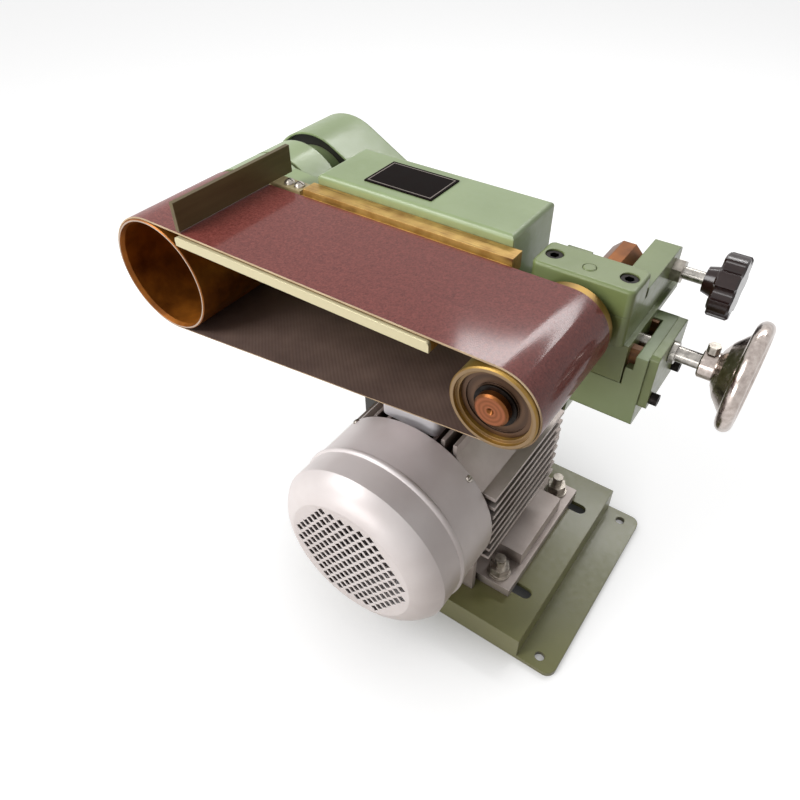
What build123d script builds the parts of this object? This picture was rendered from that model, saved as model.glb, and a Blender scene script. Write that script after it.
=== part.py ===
from build123d import *
import math
import os

# Bench belt sander. X runs from the drive drum towards the handwheel, Y from the open end of the drum
# towards the drive guard, Z up from the bench. The origin is the middle of the four bench bolts, and
# sizes are in millimetres.

# Fits and clearances
RUNNING_FIT = 0.05      # radial, turning or sliding faces
SCREW_FIT = 0.1         # radial, screw shanks in their holes
BELT_RIDE = 0.3         # sanding belt and drive belt to the pulley faces
TOUCH = 0.01            # edges are picked by their place to within this
SIDE_PLAY = 0.4         # flat faces that pass each other

# Base: a folded hat-section plate
BASE_DEPTH = 210
HAT_HALF = 121
HAT_HEIGHT = 30
FLANGE_EDGE = 156
BASE_SHEET = 5
FLANGE_CORNER_R = 9
BENCH_HOLE_R = 4.5
BENCH_HOLE_INSET = 12   # from the flange ends

# Sanding loop
BELT_WIDTH = 102
BELT_THICK = 1.2
BELT_FAR_Y = -17        # edge of the sanding belt that faces the arm
DRUM_R = 51
IDLER_R = 31.8
LOOP_CENTRES = 322
SPINDLE_X = -243
SPINDLE_Z = 285

# Drive drum and spindle
DRUM_WALL = 3.5
DRUM_OVER = 1           # drum past each belt edge
DRUM_WEB = 10
DRUM_BOSS_R = 22
DRUM_BOSS_LENGTH = 40
NOSE_R = 10
JOURNAL_R = 12.5
BEARING_R = 26
BEARING_WIDTH = 15
HOUSING_R = 40
HOUSING_BORE_R = 20
NOSE_NUT_WIDTH = 30
NOSE_NUT_HEIGHT = 13
NOSE_THREAD_OVER = 3

# Arm
HUB_GAP = 6             # sanding belt to arm hub
HUB_LENGTH = 42
HUB_R = 52
ARM_GAP = 18            # sanding belt to the arm's near side
ARM_WIDTH = 66
ARM_START = 80          # from the spindle axis
BOX_CLEAR = 17          # arm box to the tension slide
BOX_TOP = 65            # above the spindle axis
SPINE_BOTTOM = -63
SPINE_TOP = -26
TRAVEL_ROOM = 20        # tension slide to the end plate
ARM_WALL = 8
ARM_EDGE_R = 4
WAY_TOP = 2
WAY_WALL = 14
UPSTAND = 9             # end wall of the ways, inside the end plate
SILL_RISE = 16          # the end wall's low sill, above the spine
LEDGE_REACH = 14        # platen ledge, out from the arm's near side
LEDGE_DEPTH = 18
CLAMP_SLIT = 2.5
CLAMP_LUG = 26

# Platen and work rest
PLATEN_START = 37
PLATEN_CLEAR = 16.2     # platen to the idler
PLATEN_THICK = 8
PLATEN_DROP = 0.5       # below the drum's crown
PLATEN_OVER = 3         # past the belt's near edge
RIB_RISE = 6            # platen's far margin above its sanding face
RIB_GAP = 3             # sanding belt to that margin
REST_THICK = 4
REST_HEIGHT = 24
REST_CLEAR = 1.5        # above the grit
REST_FOOT = 31
REST_FOOT_THICK = 3.5
REST_FAR_OVER = 27      # past the belt's far edge

# Tension slide, idler and tracking
HEAD_HALF = 39
SLIDE_FOOT = 4          # foot of the slide past its bars, towards the end plate
FOOT_RISE = 6           # top of that foot above the ways
SLIDE_SKIRT = 7         # the slide's near skirt, over the guide bar
WINDOW_HALF = 18
CAP_TOP = 54            # above the spindle axis
CAP_GAP = 14            # belt edge to cap block
CAP_DEPTH = 34
CAP_CORNER_R = 5
BAR_REACH = 122         # tracking bar, past the belt's far edge
BAR_TOP = 40
TONGUE_HALF = 17
AXLE_R = 12.5
AXLE_FLATS = 26
AXLE_REACH = 117        # past the belt's far edge
AXLE_NEAR_OVER = 5      # past the belt's near edge
ROLLER_NEAR_OVER = 3
ROLLER_FAR_OVER = 9
ROLLER_WALL = 5.8
PIVOT_R = 5
PIVOT_Y = 28            # past the belt's far edge
CAP_SCREW_R = 4
TRACK_R = 5
TRACK_RISE = 4.5        # tracking screw above the idler's axis
TRACK_Y = 110           # past the belt's far edge
LOCK_NUT_WIDTH = 17
LOCK_NUT_HEIGHT = 8
KNOB_R = 25
KNOB_LOBES = 7
KNOB_THICK = 17
KNOB_HUB_R = 12
KNOB_HUB_LENGTH = 9
KNOB_STANDOFF = 17      # lock nut to knob hub
TENSION_R = 6
TENSION_DROP = -7       # from the spindle axis
END_PLATE = 7
COLLAR_R = 8.5
COLLAR_WIDTH = 4
WHEEL_R = 42
WHEEL_RIM_R = 6
WHEEL_HUB_R = 11
WHEEL_NECK = 11         # plain length of the hub
WHEEL_STANDOFF = 22     # end plate to wheel hub
WHEEL_DISH = 31         # rim beyond the hub's inner face

# Motor
MOTOR_X = -7
MOTOR_HEIGHT = 100      # foot plane to shaft
FOOT_SPACING_X = 160
FOOT_SPACING_Y = 120
FOOT_TO_FACE = 6        # far foot hole to the drive end face
FOOT_INNER = 20         # foot rails, from the motor's middle
FOOT_OVER = 18          # foot past its bolts
FOOT_PAD = 10
FOOT_RIB = 5
FOOT_HOLE_R = 5.5
SLOT_LENGTH = 70
SLOT_R = 6
SHIELD_LENGTH = 26
BODY_LENGTH = 125
FIN_R = 79              # half the width over the fins
FIN_HEIGHT = 13
FIN_PITCH = 11.2
FIN_PAIRS = 4           # either side of the middle of each face
FIN_THICK = 3.4
PAD_WIDTH = 38          # smooth pad at the upper right
CORE_R = FIN_R - FIN_HEIGHT
BARREL_WALL = 8
STATOR_R = CORE_R - BARREL_WALL
SPIGOT = 5              # wall of the end shields' spigots
SPIGOT_LENGTH = 6
WINDING_DEPTH = 24      # stator's outside to the rotor
ROTOR_R = STATOR_R - WINDING_DEPTH
MOTOR_SHAFT_R = 12
MOTOR_BEARING_R = 23.5
MOTOR_BEARING_WIDTH = 14
COVER_R = FIN_R + 1
COVER_LENGTH = 90
COVER_LAP = 2           # gap between the fins and the cover's rear edge
COVER_SHEET = 0.8
COVER_LUG = 14          # width of each lug that holds the cover
COVER_BAND = 46         # rear edge to the middle of the swaged bead
COVER_BEAD = 1.8
COVER_BEAD_HALF = 3
COVER_NOSE = 72         # rear edge to the crease where the nose starts
COVER_NOSE_CROWN = 2
COVER_FACE_R = COVER_R - 21
GRILLE_PITCH = 9.4
GRILLE_ROW = 6.8
GRILLE_HOLE_R = 3.9     # to the corners
GRILLE_FIELD_R = COVER_FACE_R - 5
REAR_SHIELD = 8
SHIELD_EDGE = 3         # shields inside the fins
BELL_SHOULDER = 23      # bell's outer corner inside the fins
TERMINAL_X = 56
TERMINAL_OFFSET = -10   # box's middle from the shaft
TERMINAL_Y = 74
TERMINAL_SINK = 9       # box's floor inside the fins
TERMINAL_TOP = 121      # above the shaft
TERMINAL_WALL = 4
TERMINAL_LID = 6
GLAND_RISE = 22         # above the box's floor
LEAD_R = 4

# Drive
GUARD_GAP = 16          # arm to guard
GUARD_DEPTH = 63
GUARD_R = 54.5          # round the spindle pulley
GUARD_MOTOR_R = 66      # round the motor pulley
GUARD_MOTOR_RISE = 12   # middle of that end above the motor's shaft
MOTOR_FACE_GAP = 15     # motor's face to the guard
GUARD_SHEET = 2
GUARD_EDGE_R = 5
GUARD_RECESS = 7        # back plate inside the guard's rim
BACK_PLATE = 2.5
SPINDLE_PULLEY_R = 36
MOTOR_PULLEY_R = 45
PULLEY_WIDTH = 22
PULLEY_SETBACK = 22     # pulley face to guard face
GROOVE_TOP = 13
GROOVE_BOTTOM = 8
GROOVE_DEPTH = 10
V_BELT_THICK = 8

# Pedestal
PEDESTAL_GAP = 3        # between the arm hub and the pedestal ring
PEDESTAL_RING_R = 52
PEDESTAL_INSET = 1      # foot edge to the flange edge
FOOT_THICK = 18
FOOT_BOLT_SPACING = 56
FOOT_LENGTH = 75

# Switch and plates
SWITCH_A = 173          # along the arm from the spindle axis
SWITCH_W = 22           # above the spindle axis
SWITCH_LENGTH = 86
SWITCH_HEIGHT = 62
SWITCH_THICK = 7
BUTTON_LENGTH = 27
BUTTON_HEIGHT = 30
BUTTON_PROUD = 3.5
BUTTON_TRAVEL = 3
NAMEPLATE_A = 153
NAMEPLATE_LENGTH = 66
NAMEPLATE_WIDTH = 42
NAMEPLATE_THICK = 1

# Places worked out from the sizes above
BELT_NEAR_Y = BELT_FAR_Y - BELT_WIDTH
IDLER_X = SPINDLE_X + LOOP_CENTRES
IDLER_Z = SPINDLE_Z + DRUM_R - IDLER_R
HUB_NEAR_Y = BELT_FAR_Y + HUB_GAP
HUB_FAR_Y = HUB_NEAR_Y + HUB_LENGTH
ARM_NEAR_Y = BELT_FAR_Y + ARM_GAP
ARM_FAR_Y = ARM_NEAR_Y + ARM_WIDTH
GUARD_Y = ARM_FAR_Y + GUARD_GAP
BACK_PLATE_Y = GUARD_Y + GUARD_RECESS
GUARD_FACE_Y = GUARD_Y + GUARD_DEPTH
PULLEY_FAR_Y = GUARD_FACE_Y - PULLEY_SETBACK
PULLEY_NEAR_Y = PULLEY_FAR_Y - PULLEY_WIDTH
PULLEY_MID_Y = PULLEY_FAR_Y - PULLEY_WIDTH / 2
DRUM_NEAR_Y = BELT_NEAR_Y - DRUM_OVER
DRUM_FAR_Y = BELT_FAR_Y + DRUM_OVER
RING_NEAR_Y = HUB_FAR_Y + PEDESTAL_GAP
RING_FAR_Y = ARM_FAR_Y
MOTOR_Z = HAT_HEIGHT + MOTOR_HEIGHT
MOTOR_FACE_Y = GUARD_Y - MOTOR_FACE_GAP
BODY_FAR_Y = MOTOR_FACE_Y - SHIELD_LENGTH
BODY_NEAR_Y = BODY_FAR_Y - BODY_LENGTH
FOOT_FAR_Y = MOTOR_FACE_Y - FOOT_TO_FACE
FOOT_NEAR_Y = FOOT_FAR_Y - FOOT_SPACING_Y
COVER_REAR_Y = BODY_NEAR_Y - COVER_LAP
COVER_FRONT_Y = COVER_REAR_Y - COVER_LENGTH
PLATEN_TOP = SPINDLE_Z + DRUM_R - PLATEN_DROP
GRIT_TOP = SPINDLE_Z + DRUM_R + BELT_RIDE + BELT_THICK
WINDOW_FLOOR = IDLER_Z - AXLE_FLATS / 2 - SIDE_PLAY
CAP_BOTTOM = IDLER_Z + AXLE_FLATS / 2 + SIDE_PLAY
CAP_NEAR_Y = BELT_FAR_Y + CAP_GAP
CAP_FAR_Y = CAP_NEAR_Y + CAP_DEPTH
WAY_MID_Y = ARM_NEAR_Y + ARM_WIDTH / 2
TENSION_Z = SPINDLE_Z + TENSION_DROP
TRACK_Z = IDLER_Z + TRACK_RISE
BOX_END = LOOP_CENTRES - HEAD_HALF - BOX_CLEAR
ARM_END = LOOP_CENTRES + HEAD_HALF + TRAVEL_ROOM
PLATEN_END = LOOP_CENTRES - IDLER_R - PLATEN_CLEAR
HEAD_RIGHT = IDLER_X + HEAD_HALF
HEAD_LEFT = IDLER_X - HEAD_HALF
END_PLATE_X = SPINDLE_X + ARM_END
PLATE_OUT_X = END_PLATE_X + END_PLATE
WAY_END_X = END_PLATE_X - UPSTAND
FOOT_RIGHT = HEAD_RIGHT + SLIDE_FOOT
SKIRT_FAR_Y = ARM_NEAR_Y + SLIDE_SKIRT
SWITCH_X = SPINDLE_X + SWITCH_A
SWITCH_Z = SPINDLE_Z + SWITCH_W

# Which way a screw head faces, for a screw drawn standing on its point
HEAD_UP = Rot(0, 0, 0)
HEAD_DOWN = Rot(180, 0, 0)
HEAD_RIGHT_WAY = Rot(0, 90, 0)
HEAD_LEFT_WAY = Rot(0, -90, 0)
HEAD_FAR = Rot(-90, 0, 0)
HEAD_NEAR = Rot(90, 0, 0)
PAST = 1                # how far a cut runs past a face


def slab(x0, x1, y0, y1, z0, z1):
    middle = Pos((x0 + x1) / 2, (y0 + y1) / 2, (z0 + z1) / 2)
    return middle * Box(x1 - x0, y1 - y0, z1 - z0)


def rod_x(y, z, radius, x0, x1):
    return Pos((x0 + x1) / 2, y, z) * Rot(0, 90, 0) * Cylinder(radius, x1 - x0)


def rod_y(x, z, radius, y0, y1):
    return Pos(x, (y0 + y1) / 2, z) * Rot(90, 0, 0) * Cylinder(radius, y1 - y0)


def rod_z(x, y, radius, z0, z1):
    return Pos(x, y, (z0 + z1) / 2) * Cylinder(radius, z1 - z0)


def ring_y(x, z, outer, inner, y0, y1):
    return rod_y(x, z, outer, y0, y1) - rod_y(x, z, inner, y0 - PAST, y1 + PAST)


def along_y(sketch, y0, y1):
    """A sketch drawn with X across and Z up, carried from y0 to y1."""
    return Pos(0, y0, 0) * extrude(Plane.XZ * sketch, amount=-(y1 - y0))


def outline(points):
    return make_face(Polyline(*points, close=True))


def prism_y(points, y0, y1):
    return along_y(outline(points), y0, y1)


def turned_y(x, z, points):
    """A turned piece about a line along Y, from (place along Y, radius) points."""
    return Pos(x, 0, z) * revolve(outline([(radius, y) for y, radius in points]), Axis.Y)


def turned_x(y, z, points):
    """A turned piece about a line along X, from (place along X, radius) points."""
    return Pos(0, y, z) * revolve(outline(points), Axis.X)


def loop_face(ax, az, ar, bx, bz, br):
    """The outline of a belt pulled tight round two circles."""
    lean = math.atan2(bz - az, bx - ax)
    wrap = math.acos((ar - br) / math.hypot(bx - ax, bz - az))

    def on(cx, cz, radius, angle):
        return (cx + radius * math.cos(angle), cz + radius * math.sin(angle))

    upper_a, upper_b = on(ax, az, ar, lean + wrap), on(bx, bz, br, lean + wrap)
    lower_a, lower_b = on(ax, az, ar, lean - wrap), on(bx, bz, br, lean - wrap)
    return make_face([
        Line(upper_a, upper_b),
        ThreePointArc(upper_b, on(bx, bz, br, lean), lower_b),
        Line(lower_b, lower_a),
        ThreePointArc(lower_a, on(ax, az, ar, lean + math.pi), upper_a),
    ])


def hexagon(width):
    return RegularPolygon(width / 2, 6, major_radius=False)


def hex_bar(width, height):
    """A hexagon standing on the origin."""
    return extrude(hexagon(width), amount=height)


CAP_HEAD_RATIO = 1.55   # head and its hexagon to the shank
WASHER_RATIO = 0.62     # washer radius to the width over the flats


def cap_screw(radius, length, head_height=None):
    """A socket head screw with the underside of its head at the origin, point down."""
    head = head_height or 2 * radius
    head_r = CAP_HEAD_RATIO * radius
    screw = Pos(0, 0, -length / 2) * Cylinder(radius, length)
    screw += Pos(0, 0, head / 2) * Cylinder(head_r, head)
    return screw - Pos(0, 0, head * 0.45) * hex_bar(CAP_HEAD_RATIO * radius, head)


def hex_screw(radius, length, head_width, head_height):
    """A hexagon head screw with a washer face at the origin, point down."""
    screw = Pos(0, 0, -length / 2) * Cylinder(radius, length)
    washer = head_height * 0.25
    screw += Pos(0, 0, washer / 2) * Cylinder(head_width * WASHER_RATIO, washer)
    return screw + Pos(0, 0, washer) * hex_bar(head_width, head_height)


def pan_screw(radius, length, head_r, head_height):
    """A round slotted head screw with the underside of its head at the origin."""
    screw = Pos(0, 0, -length / 2) * Cylinder(radius, length)
    dome = revolve(make_face([
        Line((0, 0), (head_r, 0)),
        ThreePointArc((head_r, 0), (head_r * 0.72, head_height * 0.72), (0, head_height)),
        Line((0, head_height), (0, 0)),
    ]), Axis.Y)
    screw += Rot(90, 0, 0) * dome
    slot = Pos(0, 0, head_height) * Box(2.2 * head_r, head_r * 0.28, head_height)
    return screw - slot


def drilling(radius, length):
    """The hole for a screw drawn as above."""
    return Pos(0, 0, -length / 2 + PAST / 2) * Cylinder(radius + SCREW_FIT, length + PAST)


def group(solids):
    return Compound(children=list(solids))


def bearing(x, z, outer, bore, y0, y1):
    """A shielded ball bearing: outer race, recessed shields and inner race in one ring."""
    recess = 1.2
    third = (outer - bore) / 3
    ring = ring_y(x, z, outer, bore, y0, y1)
    for start, end in ((y0 - PAST, y0 + recess), (y1 - recess, y1 + PAST)):
        ring -= ring_y(x, z, outer - third * 0.8, bore + third * 0.8, start, end)
    return ring


# Base and pedestal

def foot_places():
    for x in (MOTOR_X - FOOT_SPACING_X / 2, MOTOR_X + FOOT_SPACING_X / 2):
        for y in (FOOT_NEAR_Y, FOOT_FAR_Y):
            yield x, y


FOOT_X = -(FLANGE_EDGE + HAT_HALF) / 2
COLUMN_LEFT = -FLANGE_EDGE + PEDESTAL_INSET
COLUMN_RIGHT = -HAT_HALF - SIDE_PLAY
RING_MID_Y = (RING_NEAR_Y + RING_FAR_Y) / 2
FOOT_BOLTS = [RING_MID_Y - FOOT_BOLT_SPACING / 2, RING_MID_Y + FOOT_BOLT_SPACING / 2]
FOOT_BOLT_R = 4
FOOT_HEAD_WIDTH = 13
FOOT_HEAD_HEIGHT = 5.5
CLAMP_SCREW_R = 5
CLAMP_GRIP = 4          # clamp screw past its lugs
LUG_ROOT = 8            # lugs into their ring
SLIT_ROOT = 3           # slit past the ring's bore


def base_plate():
    half = BASE_DEPTH / 2
    sheet = BASE_SHEET
    plate = prism_y([
        (-FLANGE_EDGE, 0), (-FLANGE_EDGE, sheet), (-HAT_HALF, sheet), (-HAT_HALF, HAT_HEIGHT),
        (HAT_HALF, HAT_HEIGHT), (HAT_HALF, sheet), (FLANGE_EDGE, sheet), (FLANGE_EDGE, 0),
        (HAT_HALF - sheet, 0), (HAT_HALF - sheet, HAT_HEIGHT - sheet),
        (-HAT_HALF + sheet, HAT_HEIGHT - sheet), (-HAT_HALF + sheet, 0)], -half, half)
    inner = HAT_HALF - sheet
    for y in (-half, half - sheet):
        plate += slab(-inner, inner, y, y + sheet, 0, HAT_HEIGHT - sheet)
    corners = [e for e in plate.edges().filter_by(Axis.Z) if abs(abs(e.center().X) - FLANGE_EDGE) < TOUCH]
    plate = fillet(corners, FLANGE_CORNER_R)
    for x, y in foot_places():
        slot = extrude(SlotOverall(SLOT_LENGTH, 2 * SLOT_R), amount=2 * sheet, both=True)
        plate -= Pos(x, y, HAT_HEIGHT) * slot
    for x in (-FOOT_X, FOOT_X):
        for y in (-half + BENCH_HOLE_INSET, half - BENCH_HOLE_INSET):
            plate -= rod_z(x, y, BENCH_HOLE_R, -PAST, sheet + PAST)
    for y in FOOT_BOLTS:
        plate -= rod_z(FOOT_X, y, FOOT_BOLT_R + SCREW_FIT, -PAST, sheet + PAST)
    return plate


def split_lugs(radius, y0, y1, angle):
    """Two lugs of a split ring, at an angle below the ring's right side, and the slit between them."""
    reach = radius + CLAMP_LUG
    lugs = slab(radius - LUG_ROOT, reach, y0, y1, -CLAMP_LUG / 2, CLAMP_LUG / 2)
    slit = slab(HOUSING_R - SLIT_ROOT, reach + PAST, y0 - PAST, y1 + PAST, -CLAMP_SLIT / 2, CLAMP_SLIT / 2)
    place = Pos(SPINDLE_X, 0, SPINDLE_Z) * Rot(0, angle, 0)
    return place * lugs, place * slit


def clamp_place(radius, y, angle):
    """Where the screw that closes a pair of lugs has its head."""
    return Pos(SPINDLE_X, 0, SPINDLE_Z) * Rot(0, angle, 0) * Pos(radius + CLAMP_LUG / 2 + 1, y, CLAMP_LUG / 2)


PEDESTAL_SPLIT = 150
ARM_SPLIT = 95
KNEE_DROP = 150         # the column's bend below the spindle
KNEE_STEP = 45          # from one edge's bend to the other's
LEAD_ENTRY_Z = 145
HUB_MID_Y = (HUB_NEAR_Y + HUB_FAR_Y) / 2
LEAD_ENTRY = (FOOT_X, RING_NEAR_Y, LEAD_ENTRY_Z)


def pedestal():
    knee = SPINDLE_Z - KNEE_DROP
    ring = rod_y(SPINDLE_X, SPINDLE_Z, PEDESTAL_RING_R, RING_NEAR_Y, RING_FAR_Y)
    column = prism_y([
        (SPINDLE_X + 40, SPINDLE_Z - 33), (COLUMN_RIGHT, knee), (COLUMN_RIGHT, BASE_SHEET),
        (COLUMN_LEFT, BASE_SHEET), (COLUMN_LEFT, knee - KNEE_STEP), (SPINDLE_X - 44, SPINDLE_Z - 27)],
        RING_NEAR_Y, RING_FAR_Y)
    foot = slab(COLUMN_LEFT, COLUMN_RIGHT, RING_MID_Y - FOOT_LENGTH / 2, RING_MID_Y + FOOT_LENGTH / 2,
                BASE_SHEET, BASE_SHEET + FOOT_THICK)
    lugs, slit = split_lugs(PEDESTAL_RING_R, RING_NEAR_Y, RING_FAR_Y, PEDESTAL_SPLIT)
    casting = ring + column + foot + lugs
    casting -= rod_y(SPINDLE_X, SPINDLE_Z, HOUSING_R + RUNNING_FIT, RING_NEAR_Y - PAST, RING_FAR_Y + PAST)
    casting -= slit
    for y in FOOT_BOLTS:
        casting -= Pos(FOOT_X, y, BASE_SHEET + FOOT_THICK) * drilling(FOOT_BOLT_R, FOOT_THICK + PAST)
    clamp = clamp_place(PEDESTAL_RING_R, RING_MID_Y, PEDESTAL_SPLIT)
    casting -= clamp * drilling(CLAMP_SCREW_R, 2 * CLAMP_LUG)
    x, y, z = LEAD_ENTRY
    return casting - rod_y(x, z, GROMMET_NECK_R, y - PAST, y + GROMMET_DEPTH)


def pedestal_bolts():
    length = FOOT_THICK + BASE_SHEET - 1
    bolt = hex_screw(FOOT_BOLT_R, length, FOOT_HEAD_WIDTH, FOOT_HEAD_HEIGHT)
    return group(Pos(FOOT_X, y, BASE_SHEET + FOOT_THICK) * bolt for y in FOOT_BOLTS)


def pedestal_clamp_screw():
    screw = cap_screw(CLAMP_SCREW_R, CLAMP_LUG + CLAMP_GRIP)
    return clamp_place(PEDESTAL_RING_R, RING_MID_Y, PEDESTAL_SPLIT) * screw


# Spindle and sanding drum

BEARING_NEAR_Y = HUB_NEAR_Y
BEARING_LIP = 4         # seat edge outside the bearing
BEARING_FAR_Y = BACK_PLATE_Y - BEARING_WIDTH - BEARING_LIP
HOUSING_NEAR_Y = HUB_NEAR_Y - 2


def spindle_housing():
    tube = ring_y(SPINDLE_X, SPINDLE_Z, HOUSING_R, HOUSING_BORE_R, HOUSING_NEAR_Y, BACK_PLATE_Y)
    seat = BEARING_R + RUNNING_FIT
    tube -= rod_y(SPINDLE_X, SPINDLE_Z, seat, HOUSING_NEAR_Y - PAST, BEARING_NEAR_Y + BEARING_WIDTH)
    tube -= rod_y(SPINDLE_X, SPINDLE_Z, seat, BEARING_FAR_Y, BACK_PLATE_Y + PAST)
    for place in guard_screw_places():
        tube -= place * drilling(GUARD_SCREW_R, BACK_PLATE + GUARD_SCREW_LENGTH)
    return tube


def spindle_bearings():
    bore = JOURNAL_R + RUNNING_FIT
    return group(bearing(SPINDLE_X, SPINDLE_Z, BEARING_R, bore, y, y + BEARING_WIDTH)
                 for y in (BEARING_NEAR_Y, BEARING_FAR_Y))


NOSE_WASHER = 3
SPINDLE_OVER = 3        # past the pulley
DRUM_CHAMFER = 0.8
DRUM_BEVEL = 1.5        # inside of the mouth
MOUTH_BEVEL = 4         # its length
WEB_BEVEL = 4
NOSE_NEAR_Y = DRUM_FAR_Y - DRUM_BOSS_LENGTH - NOSE_WASHER - NOSE_NUT_HEIGHT - NOSE_THREAD_OVER
PULLEY_SEAT_R = 11


def spindle():
    return turned_y(SPINDLE_X, SPINDLE_Z, [
        (NOSE_NEAR_Y, 0), (NOSE_NEAR_Y, NOSE_R - 1), (NOSE_NEAR_Y + 1, NOSE_R), (DRUM_FAR_Y, NOSE_R),
        (DRUM_FAR_Y, JOURNAL_R), (PULLEY_NEAR_Y, JOURNAL_R), (PULLEY_NEAR_Y, PULLEY_SEAT_R),
        (PULLEY_FAR_Y + SPINDLE_OVER, PULLEY_SEAT_R), (PULLEY_FAR_Y + SPINDLE_OVER, 0)])


def drive_drum():
    """An open cup with a thin rim, a web at its inboard end and a boss on the spindle nose."""
    inner = DRUM_R - DRUM_WALL
    web_y = DRUM_FAR_Y - DRUM_WEB
    boss_y = DRUM_FAR_Y - DRUM_BOSS_LENGTH
    bore = NOSE_R + SCREW_FIT
    return turned_y(SPINDLE_X, SPINDLE_Z, [
        (DRUM_NEAR_Y, inner + DRUM_BEVEL), (DRUM_NEAR_Y, DRUM_R - DRUM_CHAMFER),
        (DRUM_NEAR_Y + DRUM_CHAMFER, DRUM_R), (DRUM_FAR_Y - DRUM_CHAMFER, DRUM_R),
        (DRUM_FAR_Y, DRUM_R - DRUM_CHAMFER), (DRUM_FAR_Y, bore), (boss_y, bore), (boss_y, DRUM_BOSS_R),
        (web_y, DRUM_BOSS_R), (web_y, inner - WEB_BEVEL), (web_y - WEB_BEVEL, inner),
        (DRUM_NEAR_Y + MOUTH_BEVEL, inner)])


def drum_nut():
    seat_y = DRUM_FAR_Y - DRUM_BOSS_LENGTH
    washer = rod_y(SPINDLE_X, SPINDLE_Z, NOSE_NUT_WIDTH * WASHER_RATIO, seat_y - NOSE_WASHER, seat_y)
    nut = HEAD_NEAR * hex_bar(NOSE_NUT_WIDTH, NOSE_NUT_HEIGHT)
    nut = Pos(SPINDLE_X, seat_y - NOSE_WASHER, SPINDLE_Z) * nut
    bore = rod_y(SPINDLE_X, SPINDLE_Z, NOSE_R + SCREW_FIT, NOSE_NEAR_Y, seat_y + PAST)
    return washer + nut - bore


def abrasive_belt():
    inner = loop_face(SPINDLE_X, SPINDLE_Z, DRUM_R + BELT_RIDE, IDLER_X, IDLER_Z, IDLER_R + BELT_RIDE)
    grown = BELT_RIDE + BELT_THICK
    outer = loop_face(SPINDLE_X, SPINDLE_Z, DRUM_R + grown, IDLER_X, IDLER_Z, IDLER_R + grown)
    return along_y(outer - inner, BELT_NEAR_Y, BELT_FAR_Y)


# Drive belt, pulleys and guard

GUARD_SCREW_R = 2.5
GUARD_SCREW_LENGTH = 12
GUARD_SCREW_PCD_R = 33
GUARD_SCREW_TURNS = (50, 140, 230, 320)
GUARD_HEAD_R = 5
GUARD_HEAD_HEIGHT = 3.2
V_BELT_PROUD = 0.4


def guard_screw_places():
    for turn in GUARD_SCREW_TURNS:
        angle = math.radians(turn)
        x = SPINDLE_X + GUARD_SCREW_PCD_R * math.cos(angle)
        z = SPINDLE_Z + GUARD_SCREW_PCD_R * math.sin(angle)
        yield Pos(x, BACK_PLATE_Y + BACK_PLATE, z) * HEAD_FAR


def guard_loop(shrink, y0, y1):
    motor_end = MOTOR_X, MOTOR_Z + GUARD_MOTOR_RISE, GUARD_MOTOR_R - shrink
    return along_y(loop_face(SPINDLE_X, SPINDLE_Z, GUARD_R - shrink, *motor_end), y0, y1)


def guard_cover():
    """A pressed race-track cover, open at the back, with a rounded front edge."""
    shell = guard_loop(0, GUARD_Y, GUARD_FACE_Y)
    front = shell.faces().sort_by(Axis.Y)[-1]
    shell = fillet(front.edges(), GUARD_EDGE_R)
    return shell - guard_loop(GUARD_SHEET, GUARD_Y - PAST, GUARD_FACE_Y - GUARD_SHEET)


def guard_back_plate():
    """The plate that carries the cover, screwed to the spindle housing, with a lip for the cover."""
    lip = 10
    plate = guard_loop(GUARD_SHEET + RUNNING_FIT, BACK_PLATE_Y, BACK_PLATE_Y + lip)
    plate -= guard_loop(GUARD_SHEET + BACK_PLATE, BACK_PLATE_Y + BACK_PLATE, BACK_PLATE_Y + lip + PAST)
    plate -= rod_y(SPINDLE_X, SPINDLE_Z, BEARING_R - BEARING_LIP, GUARD_Y, PULLEY_NEAR_Y)
    plate -= rod_y(MOTOR_X, MOTOR_Z, MOTOR_BEARING_R, GUARD_Y, PULLEY_NEAR_Y)
    for place in guard_screw_places():
        plate -= place * drilling(GUARD_SCREW_R, BACK_PLATE + PAST)
    return plate


def guard_screws():
    screw = pan_screw(GUARD_SCREW_R, BACK_PLATE + GUARD_SCREW_LENGTH - 1, GUARD_HEAD_R, GUARD_HEAD_HEIGHT)
    return group(place * screw for place in guard_screw_places())


def v_pulley(x, z, radius, bore):
    """A turned pulley with one V groove."""
    middle = PULLEY_MID_Y
    top = GROOVE_TOP / 2 + V_BELT_PROUD
    bottom = GROOVE_BOTTOM / 2
    floor = radius - GROOVE_DEPTH
    return turned_y(x, z, [
        (PULLEY_NEAR_Y, bore), (PULLEY_NEAR_Y, radius), (middle - top, radius), (middle - bottom, floor),
        (middle + bottom, floor), (middle + top, radius), (PULLEY_FAR_Y, radius), (PULLEY_FAR_Y, bore)])


def spindle_pulley():
    return v_pulley(SPINDLE_X, SPINDLE_Z, SPINDLE_PULLEY_R, PULLEY_SEAT_R + SCREW_FIT)


def motor_pulley():
    return v_pulley(MOTOR_X, MOTOR_Z, MOTOR_PULLEY_R, MOTOR_SHAFT_R + SCREW_FIT)


def v_belt():
    """A wedge belt: full width at its back, narrowing to its inner face."""
    def loop(sink):
        spindle_end = SPINDLE_X, SPINDLE_Z, SPINDLE_PULLEY_R - sink
        return loop_face(*spindle_end, MOTOR_X, MOTOR_Z, MOTOR_PULLEY_R - sink)

    back = GROOVE_TOP / 2 - BELT_RIDE
    inner = back - (GROOVE_TOP - GROOVE_BOTTOM) / 2 * V_BELT_THICK / GROOVE_DEPTH
    belt = along_y(loop(0) - loop(V_BELT_THICK), PULLEY_MID_Y - back, PULLEY_MID_Y + back)
    flare = -math.degrees(math.atan2(V_BELT_THICK - 1, back - inner))
    for side in (-1, 1):
        flank = extrude(Plane.XZ * loop(V_BELT_THICK), amount=side * (inner - back), taper=flare)
        belt -= Pos(0, PULLEY_MID_Y + side * inner, 0) * flank
    return belt


# Motor

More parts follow.
